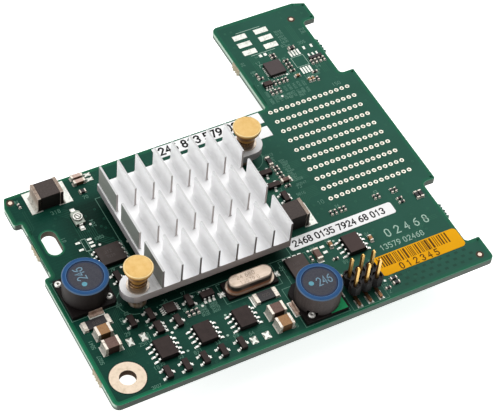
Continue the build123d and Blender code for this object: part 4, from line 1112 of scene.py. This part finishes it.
# ------------------------------------------------------------- label prints
ZL = TOP + 0.08 + 0.012
bm = bmesh.new()
numbers(bm, "2468 0135 7924 68 013", 45.5, 14.75, 1.5, ZL, 0.30, 0, 1.15, 0.99)
numbers(bm, "246 813 579 024 6", 31.2, 48.8, 1.9, ZL, 0.42, 0, 1.1, 1.05)
numbers(bm, "135 792 468 013 5", 31.2, 44.7, 1.8, ZL, 0.36, 0, 1.1, 1.05)
piece("white_label_numbers", bm, "black_ink")
bm = bmesh.new()
x, bars = 59.2, random.Random(21)
while x < 76.2:
    w = bars.choice((0.16, 0.16, 0.24, 0.34, 0.46))
    rect(bm, x, x + w, 2.25, 4.95, ZL)
    x += w + bars.choice((0.14, 0.2, 0.28, 0.4))
numbers(bm, "0 1 2 3 4 5", 63.0, 0.42, 1.45, ZL, 0.26, 0, 1.1)
piece("striped_label_bars", bm, "brown_ink")

# -------------------------------------------------------- marks on the parts
bm = bmesh.new()
ZI = IND_TOP - 0.15 + 0.012
numbers(bm, "246", INDUCTORS[0][0] + 0.16, INDUCTORS[0][1] - 0.64, 1.9, ZI, 0.22, 90, 0.87, 0.83)
numbers(bm, "246", INDUCTORS[1][0] - 0.43, INDUCTORS[1][1] - 0.9, 1.9, ZI, 0.22, 0, 0.87, 0.83)
piece("inductor_numbers", bm, "blue_ink")
bm = bmesh.new()
for (cx, cy), dx, dy in zip(INDUCTORS, (-0.95, -1.74), (-1.75, 0.31)):
    disc(bm, cx + dx, cy + dy, 0.55, ZI, 20)
piece("inductor_dots", bm, "teal_ink")
bm = bmesh.new()
for node, h in (("power_chip_bodies", 0.7), ("sense_resistor_bodies", 0.85)):
    for lo, hi in islands(node):
        z = hi[2] + 0.01
        cx, cy = (lo[0] + hi[0]) / 2, (lo[1] + hi[1]) / 2
        if node == "sense_resistor_bodies":
            numbers(bm, "020", cx - 0.7, cy - 0.3, 0.7, z, 0.1)
            continue
        numbers(bm, f"{rng.randrange(100, 999)}", cx - 1.1, cy + 0.3, h, z, 0.07)
        numbers(bm, f"{rng.randrange(1000, 9999)}", cx - 1.1, cy - 0.9, h * 0.85, z, 0.06)
piece("package_numbers", bm, "grey_ink")
bm = bmesh.new()
numbers(bm, "24 680", 29.3, 10.2, 0.95, TOP + 3.1 + 0.01, 0.10)
numbers(bm, "13579 0", 29.5, 8.85, 0.85, TOP + 3.1 + 0.01, 0.08)
piece("crystal_numbers", bm, "can_ink")

# ------------------------------------------------------- soft broken corners
for name, width in (("heat_sink_fins", 0.05), ("heat_sink_ears", 0.02), ("so8_bodies", 0.07), ("power_chip_bodies", 0.07), ("transistor_bodies", 0.05),
                    ("small_chip_bodies", 0.05), ("large_capacitor_bodies", 0.16), ("large_capacitor_ends", 0.14),
                    ("capacitor_bodies_mauve", 0.08), ("capacitor_bodies_tan", 0.06), ("chip_end_caps", 0.05),
                    ("chip_resistor_bodies", 0.03), ("sense_resistor_bodies", 0.05), ("sense_resistor_ends", 0.05),
                    ("header_body", 0.06), ("header_pins", 0.06), ("inductor_bases", 0.1), ("crystal_base", 0.1),
                    ("leadless_chip", 0.05), ("connector_housing", 0.12), ("trimmer_base", 0.08), ("trimmer_tabs", 0.04)):
    o = NODES[name]
    w = o.modifiers.new("weld", "WELD")
    w.merge_threshold = 1e-6
    b = o.modifiers.new("bevel", "BEVEL")
    b.width = width * MM
    b.segments = 2
    b.limit_method = "ANGLE"
    b.angle_limit = math.radians(38)
    b.harden_normals = True

# -------------------------------------------------------------------- stage
fbm = bmesh.new()
s = 1.6
fbm.faces.new([fbm.verts.new((x, y, 0)) for x, y in ((-s, -s), (s, -s), (s, s), (-s, s))])
mesh = bpy.data.meshes.new("floor")
fbm.to_mesh(mesh)
fbm.free()
floor = bpy.data.objects.new("floor", mesh)
scene.collection.objects.link(floor)
floor.location = (0.04, 0.04, CAD_BOX[0][2] - 0.0002)
fn = Nodes("floor_paper", (0.93, 0.93, 0.93), 0.8, spec=0.1)
fn.color(fn.mix(fn.noise(fn.vec((0.01, 0.01, 0.01)), 1.0, 2.0), (0.92, 0.92, 0.92), (0.95, 0.95, 0.95)))
fn.b.inputs["Emission Color"].default_value = (1.0, 1.0, 1.0, 1)
fn.b.inputs["Emission Strength"].default_value = 0.8
floor.data.materials.append(fn.m)


def area(name, loc, target, size, power, color=(1, 1, 1)):
    l = bpy.data.lights.new(name, "AREA")
    l.shape = "RECTANGLE"
    l.size, l.size_y = size
    l.energy = power
    l.color = color
    o = bpy.data.objects.new(name, l)
    scene.collection.objects.link(o)
    o.location = loc
    d = Vector(target) - Vector(loc)
    o.rotation_mode = "QUATERNION"
    o.rotation_quaternion = d.to_track_quat("-Z", "Y")
    return o


C = Vector((0.038, 0.034, 0.0))
area("top", C + Vector((0.18, 0.30, 0.84)), C, (0.85, 0.85), 5.5)
area("sheen", C + Vector((0.50, 0.42, 0.62)), C, (0.40, 0.40), 0.5)
area("left", C + Vector((-0.75, 0.10, 0.42)), C, (0.5, 0.4), 2.5)

world = bpy.data.worlds.new("studio")
scene.world = world
world.use_nodes = True
world.node_tree.nodes["Background"].inputs["Color"].default_value = (1.0, 1.0, 1.0, 1)
world.node_tree.nodes["Background"].inputs["Strength"].default_value = 0.33

cam = bpy.data.cameras.new("camera")
cam.sensor_fit = "HORIZONTAL"
cam.sensor_width = 36.0
cam.lens = 36.0 * 1819.4701 / 500.0
cam.clip_start, cam.clip_end = 0.02, 10.0
camera = bpy.data.objects.new("camera", cam)
scene.collection.objects.link(camera)
right = Vector((0.88180057, -0.46615463, 0.0716073))
up = Vector((0.32107807, 0.7045781, 0.63283376))
back = Vector((-0.34545133, -0.53504164, 0.77096941))
rot = Matrix((right, up, back)).transposed().to_4x4()
camera.matrix_world = Matrix.Translation((-0.09089968, -0.17752070, 0.29639586 + TOP * MM)) @ rot
scene.camera = camera

scene.view_settings.view_transform = "Standard"
scene.view_settings.look = "None"
scene.view_settings.exposure = 0.0
scene.view_settings.gamma = 1.0
